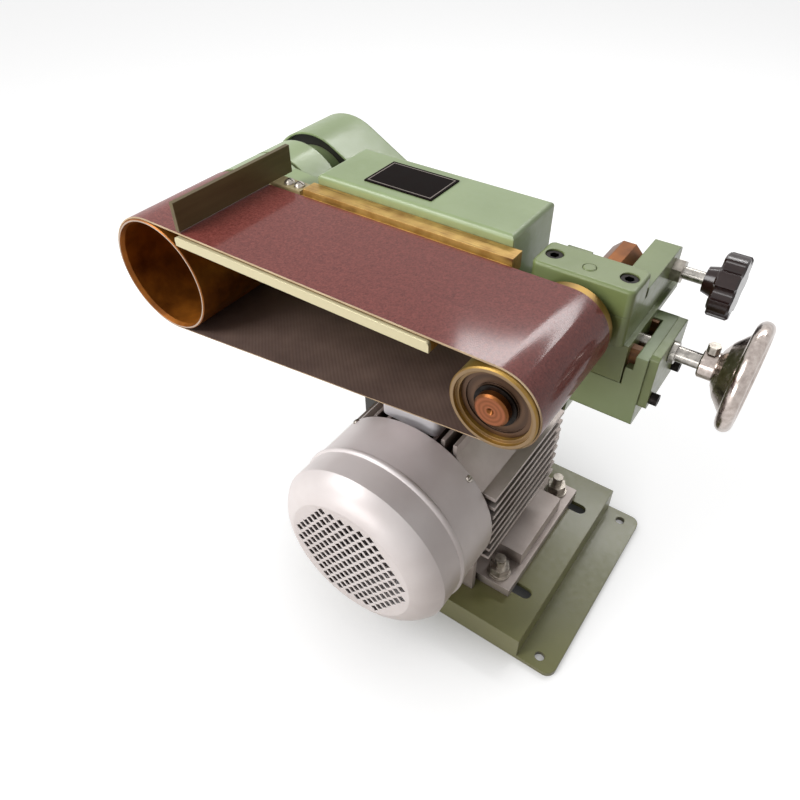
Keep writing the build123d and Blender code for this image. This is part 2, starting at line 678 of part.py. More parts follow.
def fin_places():
    return [(k + 0.5) * FIN_PITCH for k in range(-FIN_PAIRS, FIN_PAIRS)]


def barrel_profile():
    """The core with straight fins on its four faces, ribs on three corners and a pad on the fourth. At the
    upper left the fins end on the fan cover's circle."""
    profile = Circle(CORE_R)
    reach = FIN_R - CORE_R / 2
    for turn in (0, 90, 180, 270):
        for place in fin_places():
            profile += Rot(0, 0, turn) * Pos(FIN_R - reach / 2, place) * Rectangle(reach, FIN_THICK)
    for turn in (135, 225, 315):
        profile += Rot(0, 0, turn) * Pos(FIN_R - reach / 2, 0) * Rectangle(reach, FIN_THICK)
    profile += Rot(0, 0, 45) * Pos(FIN_R - reach / 2 - SHIELD_EDGE, 0) * Rectangle(reach, PAD_WIDTH)
    right_half = Pos(FIN_R, 0) * Rectangle(2 * FIN_R, 2 * FIN_R)
    lower_half = Pos(0, -FIN_R) * Rectangle(2 * FIN_R, 2 * FIN_R)
    return profile & (Circle(COVER_R) + right_half + lower_half)


def motor_housing():
    """A finned aluminium barrel with cast foot rails."""
    barrel = Pos(MOTOR_X, 0, MOTOR_Z) * along_y(barrel_profile(), BODY_NEAR_Y, BODY_FAR_Y)
    barrel += ring_y(MOTOR_X, MOTOR_Z, FIN_R - SHIELD_EDGE, STATOR_R, BODY_FAR_Y - FOOT_RIB, BODY_FAR_Y)
    pad_top = HAT_HEIGHT + FOOT_PAD
    rail_top = MOTOR_Z - FIN_R + FOOT_RIB
    outer = FOOT_SPACING_X / 2 + FOOT_OVER
    pad_near = FOOT_NEAR_Y - FOOT_OVER + FOOT_RIB
    pad_far = FOOT_FAR_Y + FOOT_OVER - FOOT_RIB
    for side in (-1, 1):
        pad = sorted((MOTOR_X + side * FOOT_INNER, MOTOR_X + side * outer))
        rail = sorted((MOTOR_X + side * FOOT_INNER, MOTOR_X + side * (outer - FOOT_RIB)))
        barrel += slab(*pad, pad_near, pad_far, HAT_HEIGHT, pad_top)
        barrel += slab(*rail, pad_near + 2 * FOOT_OVER - FOOT_RIB, BODY_FAR_Y, HAT_HEIGHT, rail_top)
        for y in (BODY_NEAR_Y, BODY_FAR_Y - FOOT_RIB):
            web = sorted((MOTOR_X + side * FOOT_INNER, MOTOR_X + side * CORE_R))
            barrel += slab(*web, y, y + FOOT_RIB, HAT_HEIGHT, MOTOR_Z - CORE_R / 2)
    floor = MOTOR_Z + TERMINAL_FLOOR
    left = TERMINAL_LEFT
    right = TERMINAL_LEFT + TERMINAL_X
    near = TERMINAL_NEAR_Y
    far = TERMINAL_NEAR_Y + TERMINAL_Y
    seat = TERMINAL_WALL * 2
    barrel += slab(left + seat, right - seat, near + seat, far - seat, MOTOR_Z + CORE_R - BARREL_WALL, floor)
    barrel -= slab(left - PAST, right + PAST, BODY_NEAR_Y - PAST, far + PAST, floor, MOTOR_Z + FIN_R + PAST)
    barrel -= rod_y(MOTOR_X, MOTOR_Z, STATOR_R + SCREW_FIT, BODY_NEAR_Y - PAST, BODY_FAR_Y + PAST)
    for x, y in foot_places():
        barrel -= Pos(x, y, pad_top) * drilling(FOOT_HOLE_R - SCREW_FIT, pad_top)
    return barrel


def motor_end_shield():
    """The bell at the drive end, with its spigot in the barrel and a boss round the shaft bearing."""
    seat = MOTOR_BEARING_R + SCREW_FIT
    lip = MOTOR_SHAFT_R + 1
    shoulder = FIN_R - BELL_SHOULDER
    pocket = MOTOR_FACE_Y - 4 - MOTOR_BEARING_WIDTH - 4
    bell = turned_y(MOTOR_X, MOTOR_Z, [
        (BODY_FAR_Y - SPIGOT_LENGTH, STATOR_R - SPIGOT), (BODY_FAR_Y - SPIGOT_LENGTH, STATOR_R),
        (BODY_FAR_Y, STATOR_R), (BODY_FAR_Y, FIN_R - SHIELD_EDGE), (BODY_FAR_Y + 8, FIN_R - SHIELD_EDGE),
        (MOTOR_FACE_Y - 8, shoulder), (MOTOR_FACE_Y, seat + 10), (MOTOR_FACE_Y, lip),
        (MOTOR_FACE_Y - 4, lip), (MOTOR_FACE_Y - 4, seat), (pocket, seat), (pocket, seat + SPIGOT),
        (MOTOR_FACE_Y - SHIELD_LENGTH / 2, shoulder - SPIGOT),
        (BODY_FAR_Y + 5, STATOR_R - SPIGOT)])
    over_feet = slab(MOTOR_X - FIN_R, MOTOR_X + FIN_R, BODY_FAR_Y - SPIGOT_LENGTH, MOTOR_FACE_Y,
                     HAT_HEIGHT + FOOT_PAD + SIDE_PLAY, MOTOR_Z + FIN_R)
    return bell & over_feet


def motor_rear_shield():
    """The end shield under the fan, with four lugs that the cover is pushed over."""
    face = BODY_NEAR_Y
    back = face - REAR_SHIELD
    seat = MOTOR_BEARING_R + SCREW_FIT
    edge = FIN_R - SHIELD_EDGE
    shield = turned_y(MOTOR_X, MOTOR_Z, [
        (face, STATOR_R), (face + SPIGOT_LENGTH, STATOR_R), (face + SPIGOT_LENGTH, STATOR_R - SPIGOT),
        (face, STATOR_R - SPIGOT - 3), (face, seat + 7), (face + 12, seat + 7), (face + 12, seat),
        (face - 4, seat), (face - 4, MOTOR_SHAFT_R + 1), (back, MOTOR_SHAFT_R + 1), (back, edge),
        (face, edge)])
    rim = ring_y(MOTOR_X, MOTOR_Z, COVER_R - COVER_SHEET - RUNNING_FIT, edge - PAST, back, COVER_REAR_Y)
    for angle in (45, 135, 225, 315):
        lug = slab(0, COVER_R, back - PAST, face, -COVER_LUG / 2, COVER_LUG / 2)
        shield += rim & (Pos(MOTOR_X, 0, MOTOR_Z) * Rot(0, angle, 0) * lug)
    return shield


def motor_bearings():
    bore = MOTOR_SHAFT_R + RUNNING_FIT
    places = (BODY_NEAR_Y - 4, MOTOR_FACE_Y - 4 - MOTOR_BEARING_WIDTH)
    return group(bearing(MOTOR_X, MOTOR_Z, MOTOR_BEARING_R, bore, y, y + MOTOR_BEARING_WIDTH) for y in places)


STATOR_INSET = 30
STATOR_NEAR_Y = BODY_NEAR_Y + STATOR_INSET
STATOR_FAR_Y = BODY_FAR_Y - STATOR_INSET
END_TURNS = 18
AIR_GAP = 0.5
TURNS_INSET = 8
TURNS_CLEAR = 5


def stator():
    """The lamination stack with the rounded ends of its windings."""
    stack = ring_y(MOTOR_X, MOTOR_Z, STATOR_R, ROTOR_R + AIR_GAP, STATOR_NEAR_Y, STATOR_FAR_Y)
    for y0, y1 in ((STATOR_NEAR_Y - END_TURNS, STATOR_NEAR_Y), (STATOR_FAR_Y, STATOR_FAR_Y + END_TURNS)):
        turns = ring_y(MOTOR_X, MOTOR_Z, STATOR_R - TURNS_INSET, ROTOR_R + TURNS_CLEAR, y0, y1)
        stack += turns
    return stack


FAN_HUB_Y = BODY_NEAR_Y - REAR_SHIELD - 4
FAN_DEPTH = 26
FAN_INSET = 16          # fan to the fin tips
FAN_DISC = 3
FAN_HUB_R = 22
FAN_BLADES = 8
FAN_BLADE = 3


def rotor():
    """The squirrel-cage core on its shaft, from the fan's seat to the pulley's."""
    shaft = MOTOR_SHAFT_R
    return turned_y(MOTOR_X, MOTOR_Z, [
        (FAN_HUB_Y - FAN_DEPTH - 3, 0), (FAN_HUB_Y - FAN_DEPTH - 3, shaft), (STATOR_NEAR_Y - 8, shaft),
        (STATOR_NEAR_Y - 8, ROTOR_R - 4), (STATOR_NEAR_Y, ROTOR_R), (STATOR_FAR_Y, ROTOR_R),
        (STATOR_FAR_Y + 8, ROTOR_R - 4), (STATOR_FAR_Y + 8, shaft), (PULLEY_FAR_Y + 2, shaft),
        (PULLEY_FAR_Y + 2, 0)])


def cooling_fan():
    """A moulded fan: a hub and straight blades on a back disc."""
    bore = MOTOR_SHAFT_R + SCREW_FIT
    disc = ring_y(MOTOR_X, MOTOR_Z, FIN_R - FAN_INSET, bore, FAN_HUB_Y - FAN_DISC, FAN_HUB_Y)
    fan = disc + ring_y(MOTOR_X, MOTOR_Z, FAN_HUB_R, bore, FAN_HUB_Y - FAN_DEPTH, FAN_HUB_Y)
    for k in range(FAN_BLADES):
        blade = slab(FAN_HUB_R - 2, FIN_R - FAN_INSET - 1, FAN_HUB_Y - FAN_DEPTH, FAN_HUB_Y - FAN_DISC + 1,
                     -FAN_BLADE / 2, FAN_BLADE / 2)
        fan += Pos(MOTOR_X, 0, MOTOR_Z) * Rot(0, 360 / FAN_BLADES * k, 0) * blade
    return fan


def grille_holes():
    """Staggered rows of square holes, turned on their corners."""
    rows = int(GRILLE_FIELD_R / GRILLE_ROW)
    columns = int(GRILLE_FIELD_R / GRILLE_PITCH) + 1
    holes = []
    for row in range(-rows, rows + 1):
        for column in range(-columns, columns + 1):
            x = (column + (row % 2) / 2) * GRILLE_PITCH
            z = row * GRILLE_ROW
            if math.hypot(x, z) < GRILLE_FIELD_R:
                holes.append(Pos(x, z) * RegularPolygon(GRILLE_HOLE_R, 4))
    return holes


def fan_cover():
    """A pressed steel cowl: a round band with a swaged bead, a sloping nose and a punched flat face."""
    bead_y = COVER_REAR_Y - COVER_BAND
    crease_y = COVER_REAR_Y - COVER_NOSE

    def skin(inset):
        radius = COVER_R - inset
        face = (COVER_FACE_R - inset, COVER_FRONT_Y + inset)
        crease = (radius, crease_y)
        slope = ((face[0] + crease[0]) / 2 + COVER_NOSE_CROWN, (face[1] + crease[1]) / 2 - COVER_NOSE_CROWN)
        bead = [(radius, bead_y - COVER_BEAD_HALF), (radius + COVER_BEAD, bead_y),
                (radius, bead_y + COVER_BEAD_HALF)]
        return make_face([
            Line((0, face[1]), face),
            ThreePointArc(face, slope, crease),
            Line(crease, bead[0]),
            ThreePointArc(*bead),
            Polyline(bead[2], (radius, COVER_REAR_Y + inset), (0, COVER_REAR_Y + inset), (0, face[1])),
        ])

    cowl = revolve(skin(0), Axis.Y) - revolve(skin(COVER_SHEET), Axis.Y)
    holes = along_y(Sketch() + grille_holes(), COVER_FRONT_Y - PAST, COVER_FRONT_Y + COVER_SHEET + PAST)
    return Pos(MOTOR_X, 0, MOTOR_Z) * (cowl - holes)


BOLT_R = 5
BOLT_OVER = 22          # thread above the foot
BOLT_HEAD = 7
NUT_WIDTH = 17
NUT_HEIGHT = 9
WASHER_R = 11
WASHER_THICK = 2.5


def motor_foot_bolts():
    """Four bolts up through the base slots, each with a washer and a nut on the motor's foot."""
    pad_top = HAT_HEIGHT + FOOT_PAD
    underside = HAT_HEIGHT - BASE_SHEET
    bolts = []
    for x, y in foot_places():
        bolt = rod_z(x, y, BOLT_R, underside - PAST, pad_top + BOLT_OVER)
        bolt += Pos(x, y, underside - BOLT_HEAD) * hex_bar(NUT_WIDTH, BOLT_HEAD)
        bolt += rod_z(x, y, WASHER_R, pad_top, pad_top + WASHER_THICK)
        bolt += Pos(x, y, pad_top + WASHER_THICK) * hex_bar(NUT_WIDTH, NUT_HEIGHT)
        bolts.append(bolt)
    return group(bolts)


TERMINAL_NEAR_Y = BODY_NEAR_Y + 6
TERMINAL_FLOOR = FIN_R - TERMINAL_SINK
TERMINAL_LEFT = MOTOR_X + TERMINAL_OFFSET - TERMINAL_X / 2
GLAND_Y = TERMINAL_NEAR_Y + 56
TERMINAL_CORNER_R = 6
LID_CORNER_R = 7
LID_CHAMFER = 1.5
GLAND_Z = MOTOR_Z + TERMINAL_FLOOR + GLAND_RISE


def terminal_box():
    x0 = TERMINAL_LEFT
    x1 = TERMINAL_LEFT + TERMINAL_X
    y0 = TERMINAL_NEAR_Y
    y1 = TERMINAL_NEAR_Y + TERMINAL_Y
    floor = MOTOR_Z + TERMINAL_FLOOR
    rim = MOTOR_Z + TERMINAL_TOP - TERMINAL_LID
    box = slab(x0, x1, y0, y1, floor, rim)
    box = fillet(box.edges().filter_by(Axis.Z), TERMINAL_CORNER_R)
    wall = TERMINAL_WALL
    box -= slab(x0 + wall, x1 - wall, y0 + wall, y1 - wall, floor + wall, rim + PAST)
    return box - rod_x(GLAND_Y, GLAND_Z, GLAND_NECK_R + SCREW_FIT, x0 - PAST, x0 + wall + PAST)


def terminal_box_lid():
    x0 = TERMINAL_LEFT
    rim = MOTOR_Z + TERMINAL_TOP - TERMINAL_LID
    lid = slab(x0 - 1, x0 + TERMINAL_X + 1, TERMINAL_NEAR_Y - 1, TERMINAL_NEAR_Y + TERMINAL_Y + 1,
               rim, rim + TERMINAL_LID)
    lid = fillet(lid.edges().filter_by(Axis.Z), LID_CORNER_R)
    return chamfer(lid.faces().sort_by(Axis.Z)[-1].edges(), LID_CHAMFER)


GLAND_NECK_R = 7
GLAND_X = TERMINAL_LEFT
GLAND_LENGTH = 22
GLAND_HEX = 19
GLAND_HEX_HEIGHT = 6
LEAD_RUN = 38
LEAD_TURN = 24
LEAD_FALL = 30
LEAD_END = 6            # lead inside the gland and the bush
GROMMET_NECK_R = 8
GROMMET_DEPTH = 16
GROMMET_LIP = 3
GROMMET_LIP_THICK = 4


def cable_gland():
    """A screwed gland: hexagon on the box wall, neck inside, tapered nut outside."""
    neck = rod_x(GLAND_Y, GLAND_Z, GLAND_NECK_R, GLAND_X, GLAND_X + TERMINAL_WALL + 4)
    flange = Pos(GLAND_X, GLAND_Y, GLAND_Z) * HEAD_LEFT_WAY * hex_bar(GLAND_HEX, GLAND_HEX_HEIGHT)
    nut = turned_x(GLAND_Y, GLAND_Z, [
        (GLAND_X - 5, 0), (GLAND_X - 5, 8.5), (GLAND_X - 15, 8.5), (GLAND_X - GLAND_LENGTH, 5.5),
        (GLAND_X - GLAND_LENGTH, 0)])
    return neck + flange + nut - rod_x(GLAND_Y, GLAND_Z, LEAD_R + SCREW_FIT, GLAND_X - 40, GLAND_X + 40)


def lead_grommet():
    """A rubber bush in the pedestal wall."""
    x, y, z = LEAD_ENTRY
    bush = rod_y(x, z, GROMMET_NECK_R - SCREW_FIT, y - 1, y + GROMMET_DEPTH - 1)
    bush += rod_y(x, z, GROMMET_NECK_R + GROMMET_LIP, y - GROMMET_LIP_THICK, y)
    return bush - rod_y(x, z, LEAD_R + SCREW_FIT, y - GROMMET_DEPTH, y + GROMMET_DEPTH + PAST)


def motor_lead():
    """The motor's lead, from the terminal box's gland down to the bush in the pedestal."""
    x, y, z = LEAD_ENTRY
    route = [
        (GLAND_X - LEAD_END, GLAND_Y, GLAND_Z), (GLAND_X - LEAD_RUN, GLAND_Y, GLAND_Z),
        (GLAND_X - LEAD_RUN - LEAD_TURN, GLAND_Y + LEAD_TURN / 2, GLAND_Z - LEAD_TURN),
        (x + LEAD_END, y - LEAD_RUN, z + LEAD_FALL), (x, y - LEAD_TURN, z),
        (x, y + GROMMET_DEPTH - LEAD_END, z)]
    points = [Vector(*p) for p in route]
    radii = []
    for a, b, c in zip(points, points[1:], points[2:]):
        turn = math.radians((b - a).get_angle(c - b))
        radii.append(0.45 * min((b - a).length, (c - b).length) / math.tan(turn / 2))
    path = FilletPolyline(*route, radius=radii)
    section = Plane(origin=path @ 0, z_dir=path % 0) * Circle(LEAD_R)
    return sweep(section, path=path)


# Arm with its platen, work rest, plates and switch

def at_arm(points):
    """Points measured along the arm and up from the spindle axis, in the part's own frame."""
    return [(SPINDLE_X + a, SPINDLE_Z + w) for a, w in points]


SWITCH_BODY_LENGTH = 58
SWITCH_BODY_HEIGHT = 38
SWITCH_BODY_DEPTH = 34
SWITCH_CORNER_R = 4
SWITCH_CHAMFER = 1.5
SWITCH_HEAD_R = 3.8
SWITCH_HEAD_HEIGHT = 2.4
PLATEN_END_R = 3
SWITCH_SCREW_R = 2
GIB_THICK = 4
GIB_SCREW_R = 3
GIB_SCREW_STEP = 30
PLATEN_SCREW_R = 3
END_SCREW_R = 3
END_SCREW_GRIP = 13
LEDGE_TOP = PLATEN_TOP - PLATEN_THICK
TONGUE_NEAR_Y = WAY_MID_Y - TONGUE_HALF
TONGUE_FAR_Y = WAY_MID_Y + TONGUE_HALF
FAR_WALL_Y = TONGUE_FAR_Y + GIB_THICK + 2 * RUNNING_FIT
GUIDE_FAR_Y = TONGUE_NEAR_Y - RUNNING_FIT
GUIDE_NEAR_Y = SKIRT_FAR_Y + RUNNING_FIT
SILL_GAP = 1.2          # the slide's skirt to the sill


def gib_screw_places():
    for step in (-1, 0, 1):
        x = IDLER_X + 2 + step * GIB_SCREW_STEP
        yield Pos(x, ARM_FAR_Y, SPINDLE_Z + (SPINE_TOP + WAY_TOP) / 2) * HEAD_FAR


def platen_screw_places():
    for share in (0.12, 0.5, 0.88):
        a = ARM_START + 4 + share * (BOX_END - ARM_START - 8)
        yield Pos(SPINDLE_X + a, ARM_NEAR_Y - LEDGE_REACH / 2, LEDGE_TOP - LEDGE_DEPTH) * HEAD_DOWN


def end_screw_places():
    for y in (ARM_NEAR_Y + 9, ARM_FAR_Y - 9):
        yield Pos(PLATE_OUT_X, y, SPINDLE_Z + SPINE_TOP - 10) * HEAD_RIGHT_WAY


def switch_screw_places():
    for end in (-1, 1):
        x = SWITCH_X + end * (SWITCH_LENGTH / 2 - 7)
        yield Pos(x, ARM_FAR_Y + SWITCH_THICK, SWITCH_Z) * HEAD_FAR


def arm_casting():
    """A cast arm: clamping hub on the spindle housing, hollow box, and a spine with the ways of the slide."""
    box = prism_y(at_arm([
        (ARM_START, SPINE_BOTTOM + 26), (ARM_START + 30, SPINE_BOTTOM), (ARM_END, SPINE_BOTTOM),
        (ARM_END, SPINE_TOP), (BOX_END, SPINE_TOP), (BOX_END, BOX_TOP), (ARM_START, BOX_TOP)]),
        ARM_NEAR_Y, ARM_FAR_Y)
    box = fillet(box.faces().sort_by(Axis.Z)[-1].edges(), ARM_EDGE_R)
    box = fillet(box.edges().filter_by(Axis.X).group_by(Axis.Z)[0], ARM_EDGE_R)
    arm = box + slab(SPINDLE_X + BOX_END - 1, END_PLATE_X, FAR_WALL_Y, ARM_FAR_Y, SPINDLE_Z + SPINE_TOP - 1,
                     SPINDLE_Z + WAY_TOP)
    arm += slab(WAY_END_X, END_PLATE_X, ARM_NEAR_Y, ARM_FAR_Y, SPINDLE_Z + SPINE_TOP - 1, SPINDLE_Z + WAY_TOP)
    arm += slab(FOOT_RIGHT + SILL_GAP, WAY_END_X + 1, ARM_NEAR_Y, SKIRT_FAR_Y, SPINDLE_Z + SPINE_TOP - 1,
                SPINDLE_Z + SPINE_TOP + SILL_RISE)
    arm -= rod_x(WAY_MID_Y, TENSION_Z, TENSION_R + RUNNING_FIT, WAY_END_X - PAST, END_PLATE_X + PAST)
    arm += rod_y(SPINDLE_X, SPINDLE_Z, HUB_R, HUB_NEAR_Y, HUB_FAR_Y)
    arm += prism_y(at_arm([
        (8, -HUB_R + 1), (ARM_START + 2, SPINE_BOTTOM + 28), (ARM_START + 2, BOX_TOP - 14),
        (ARM_START - 22, HUB_R - 10), (8, HUB_R - 5)]), ARM_NEAR_Y, HUB_FAR_Y)
    arm += slab(SPINDLE_X + ARM_START + 4, SPINDLE_X + BOX_END - 4, ARM_NEAR_Y - LEDGE_REACH, ARM_NEAR_Y + 1,
                LEDGE_TOP - LEDGE_DEPTH, LEDGE_TOP)
    lugs, slit = split_lugs(HUB_R, HUB_NEAR_Y, HUB_FAR_Y, ARM_SPLIT)
    arm += lugs
    arm -= rod_y(SPINDLE_X, SPINDLE_Z, HOUSING_R + RUNNING_FIT, HUB_NEAR_Y - PAST, HUB_FAR_Y + PAST)
    arm -= slit
    wall = ARM_WALL
    arm -= slab(SPINDLE_X + ARM_START + wall + 4, SPINDLE_X + BOX_END - wall,
                ARM_NEAR_Y + wall, ARM_FAR_Y - wall,
                SPINDLE_Z + SPINE_BOTTOM - PAST, SPINDLE_Z + BOX_TOP - wall)
    arm -= slab(SWITCH_X - SWITCH_BODY_LENGTH / 2 - SIDE_PLAY, SWITCH_X + SWITCH_BODY_LENGTH / 2 + SIDE_PLAY,
                ARM_FAR_Y - wall - PAST, ARM_FAR_Y + PAST, SWITCH_Z - SWITCH_BODY_HEIGHT / 2 - SIDE_PLAY,
                SWITCH_Z + SWITCH_BODY_HEIGHT / 2 + SIDE_PLAY)
    arm -= clamp_place(HUB_R, HUB_MID_Y, ARM_SPLIT) * drilling(CLAMP_SCREW_R, 2 * CLAMP_LUG)
    for place in gib_screw_places():
        arm -= place * drilling(GIB_SCREW_R, WAY_WALL + 2)
    for place in platen_screw_places():
        arm -= place * drilling(PLATEN_SCREW_R, LEDGE_DEPTH + PAST)
    for place in end_screw_places():
        arm -= place * drilling(END_SCREW_R, END_PLATE + END_SCREW_GRIP + 2)
    for place in switch_screw_places():
        arm -= place * drilling(SWITCH_SCREW_R, SWITCH_THICK + 7)
    return arm


def arm_clamp_screw():
    screw = cap_screw(CLAMP_SCREW_R, CLAMP_LUG + CLAMP_GRIP)
    return clamp_place(HUB_R, HUB_MID_Y, ARM_SPLIT) * screw


def platen():
    """The flat steel plate behind the sanding run, on the arm's ledge, with a raised far margin."""
    plate = slab(SPINDLE_X + PLATEN_START, SPINDLE_X + PLATEN_END,
                 BELT_NEAR_Y - PLATEN_OVER, ARM_NEAR_Y - SIDE_PLAY, LEDGE_TOP, PLATEN_TOP)
    ends = [e for e in plate.edges().filter_by(Axis.Y) if abs(e.center().Z - PLATEN_TOP) < TOUCH]
    plate = fillet(ends, PLATEN_END_R)
    plate += slab(REST_X + REST_THICK + REST_FOOT + RIB_GAP, SPINDLE_X + PLATEN_END, BELT_FAR_Y + RIB_GAP,
                  ARM_NEAR_Y - SIDE_PLAY, LEDGE_TOP, PLATEN_TOP + RIB_RISE)
    head_room = Cylinder(CAP_HEAD_RATIO * PLATEN_SCREW_R + SIDE_PLAY, 2 * RIB_RISE + PAST)
    for place in platen_screw_places():
        plate -= place * drilling(PLATEN_SCREW_R, LEDGE_DEPTH + PLATEN_THICK - 2)
        plate -= place * Pos(0, 0, RIB_RISE + PAST / 2) * head_room
    for place in rest_screw_places():
        plate -= place * drilling(REST_SCREW_R, REST_FOOT_THICK + PLATEN_THICK - 1)
    return plate


def platen_screws():
    screw = cap_screw(PLATEN_SCREW_R, LEDGE_DEPTH + PLATEN_THICK - 3)
    return group(place * screw for place in platen_screw_places())


REST_SCREW_R = 2.5
REST_HEAD_R = 5
REST_HEAD_HEIGHT = 3.5
REST_X = SPINDLE_X + PLATEN_START + 0.5
REST_FOOT_Y = ARM_NEAR_Y - SIDE_PLAY - 1


def rest_screw_places():
    for share in (0.42, 0.78):
        x = REST_X + REST_THICK + share * REST_FOOT
        yield Pos(x, REST_FOOT_Y - 7, PLATEN_TOP + REST_FOOT_THICK) * HEAD_UP


def work_rest():
    """A bent steel rest that stands across the belt, its foot screwed to the platen's margin."""
    low = GRIT_TOP + REST_CLEAR
    plate = slab(REST_X, REST_X + REST_THICK, BELT_NEAR_Y, BELT_FAR_Y + REST_FAR_OVER, low, low + REST_HEIGHT)
    heel = slab(REST_X, REST_X + REST_THICK, BELT_FAR_Y + 2, REST_FOOT_Y, PLATEN_TOP, low + PAST)
    foot = slab(REST_X, REST_X + REST_THICK + REST_FOOT, BELT_FAR_Y + 2, REST_FOOT_Y,
                PLATEN_TOP, PLATEN_TOP + REST_FOOT_THICK)
    rest = plate + heel + foot
    for place in rest_screw_places():
        rest -= place * drilling(REST_SCREW_R, REST_FOOT_THICK + PAST)
    return rest


def work_rest_screws():
    screw = pan_screw(REST_SCREW_R, REST_FOOT_THICK + PLATEN_THICK - 2, REST_HEAD_R, REST_HEAD_HEIGHT)
    return group(place * screw for place in rest_screw_places())


def nameplate():
    middle_y = (ARM_NEAR_Y + ARM_FAR_Y) / 2
    x = SPINDLE_X + NAMEPLATE_A
    top = SPINDLE_Z + BOX_TOP
    return slab(x - NAMEPLATE_LENGTH / 2, x + NAMEPLATE_LENGTH / 2, middle_y - NAMEPLATE_WIDTH / 2,
                middle_y + NAMEPLATE_WIDTH / 2, top, top + NAMEPLATE_THICK)


def button_places():
    """The start button lies further along the arm than the stop button."""
    return SWITCH_X + BUTTON_LENGTH / 2 + 1, SWITCH_X - BUTTON_LENGTH / 2 - 1


def switch_plate():
    """A moulded push-button switch: face plate, raised bezel and the body behind it."""
    y = ARM_FAR_Y
    plate = slab(SWITCH_X - SWITCH_LENGTH / 2, SWITCH_X + SWITCH_LENGTH / 2, y, y + SWITCH_THICK,
                 SWITCH_Z - SWITCH_HEIGHT / 2, SWITCH_Z + SWITCH_HEIGHT / 2)
    plate = fillet(plate.edges().filter_by(Axis.Y), SWITCH_CORNER_R)
    plate = chamfer(plate.faces().sort_by(Axis.Y)[-1].edges(), SWITCH_CHAMFER)
    plate += slab(SWITCH_X - SWITCH_BODY_LENGTH / 2, SWITCH_X + SWITCH_BODY_LENGTH / 2,
                  y - SWITCH_BODY_DEPTH, y + 1,
                  SWITCH_Z - SWITCH_BODY_HEIGHT / 2, SWITCH_Z + SWITCH_BODY_HEIGHT / 2)
    for x in button_places():
        plate -= slab(x - BUTTON_LENGTH / 2 - SIDE_PLAY, x + BUTTON_LENGTH / 2 + SIDE_PLAY,
                      y + SWITCH_THICK - BUTTON_SEAT, y + SWITCH_THICK + PAST,
                      SWITCH_Z - BUTTON_HEIGHT / 2 - SIDE_PLAY, SWITCH_Z + BUTTON_HEIGHT / 2 + SIDE_PLAY)
    for place in switch_screw_places():
        plate -= place * drilling(SWITCH_SCREW_R, SWITCH_THICK + PAST)
    return plate


BUTTON_SEAT = 12
BUTTON_EDGE_R = 1.5


def push_button(x):
    face = ARM_FAR_Y + SWITCH_THICK + BUTTON_PROUD
    seat = ARM_FAR_Y + SWITCH_THICK - BUTTON_SEAT + BUTTON_TRAVEL + SIDE_PLAY
    button = slab(x - BUTTON_LENGTH / 2, x + BUTTON_LENGTH / 2, seat, face,
                  SWITCH_Z - BUTTON_HEIGHT / 2, SWITCH_Z + BUTTON_HEIGHT / 2)
    return fillet(button.faces().sort_by(Axis.Y)[-1].edges(), BUTTON_EDGE_R)


def start_button():
    return push_button(button_places()[0])


def stop_button():
    return push_button(button_places()[1])


def switch_screws():
    screw = pan_screw(SWITCH_SCREW_R, SWITCH_THICK + 5, SWITCH_HEAD_R, SWITCH_HEAD_HEIGHT)
    return group(place * screw for place in switch_screw_places())


# Ways, tension slide and idler

WAY_START = BOX_END + 3
WAY_CHAMFER = 1.5
PLATE_CORNER_R = 4


def guide_bar():
    """The near side of the ways, a planed bar on top of the spine, between the slide's skirt and tongue."""
    bar = slab(SPINDLE_X + WAY_START, WAY_END_X, GUIDE_NEAR_Y, GUIDE_FAR_Y,
               SPINDLE_Z + SPINE_TOP, SPINDLE_Z + WAY_TOP)
    return chamfer(bar.edges().filter_by(Axis.X).group_by(Axis.Z)[-1], WAY_CHAMFER)


def gib_strip():
    """A loose strip that the gib screws press against the slide."""
    return slab(SPINDLE_X + WAY_START, WAY_END_X - 2, TONGUE_FAR_Y + RUNNING_FIT, FAR_WALL_Y - RUNNING_FIT,
                SPINDLE_Z + SPINE_TOP, SPINDLE_Z + WAY_TOP - 1)


GIB_SCREW_OVER = 9      # past the arm's face
GIB_NUT_WIDTH = 10
GIB_NUT_HEIGHT = 5
GIB_SLOT = 1.2


def gib_screws():
    """Set screws with lock nuts."""
    reach = ARM_FAR_Y - FAR_WALL_Y + RUNNING_FIT
    screw = Pos(0, 0, (GIB_SCREW_OVER - reach) / 2) * Cylinder(GIB_SCREW_R, reach + GIB_SCREW_OVER)
    screw += hex_bar(GIB_NUT_WIDTH, GIB_NUT_HEIGHT)
    screw -= Pos(0, 0, GIB_SCREW_OVER) * Box(2.2 * GIB_SCREW_R, GIB_SLOT, GIB_NUT_HEIGHT)
    return group(place * screw for place in gib_screw_places())


def end_plate():
    """The plate that closes the ways and holds the tension screw."""
    plate = slab(END_PLATE_X, PLATE_OUT_X, ARM_NEAR_Y + 2, ARM_FAR_Y - 2,
                 SPINDLE_Z + SPINE_TOP - 18, SPINDLE_Z + WAY_TOP + 3)
    plate = fillet(plate.edges().filter_by(Axis.X), PLATE_CORNER_R)
    plate -= rod_x(WAY_MID_Y, TENSION_Z, TENSION_R + RUNNING_FIT, END_PLATE_X - PAST, PLATE_OUT_X + PAST)
    for place in end_screw_places():
        plate -= place * drilling(END_SCREW_R, END_PLATE + PAST)
    return plate


def end_plate_screws():
    screw = cap_screw(END_SCREW_R, END_PLATE + END_SCREW_GRIP)
    return group(place * screw for place in end_screw_places())


def cap_screw_places():
    for side in (-1, 1):
        x = IDLER_X + side * (HEAD_HALF + WINDOW_HALF) / 2
        yield Pos(x, (CAP_NEAR_Y + CAP_FAR_Y) / 2, SPINDLE_Z + CAP_TOP - CAP_COUNTERBORE) * HEAD_UP


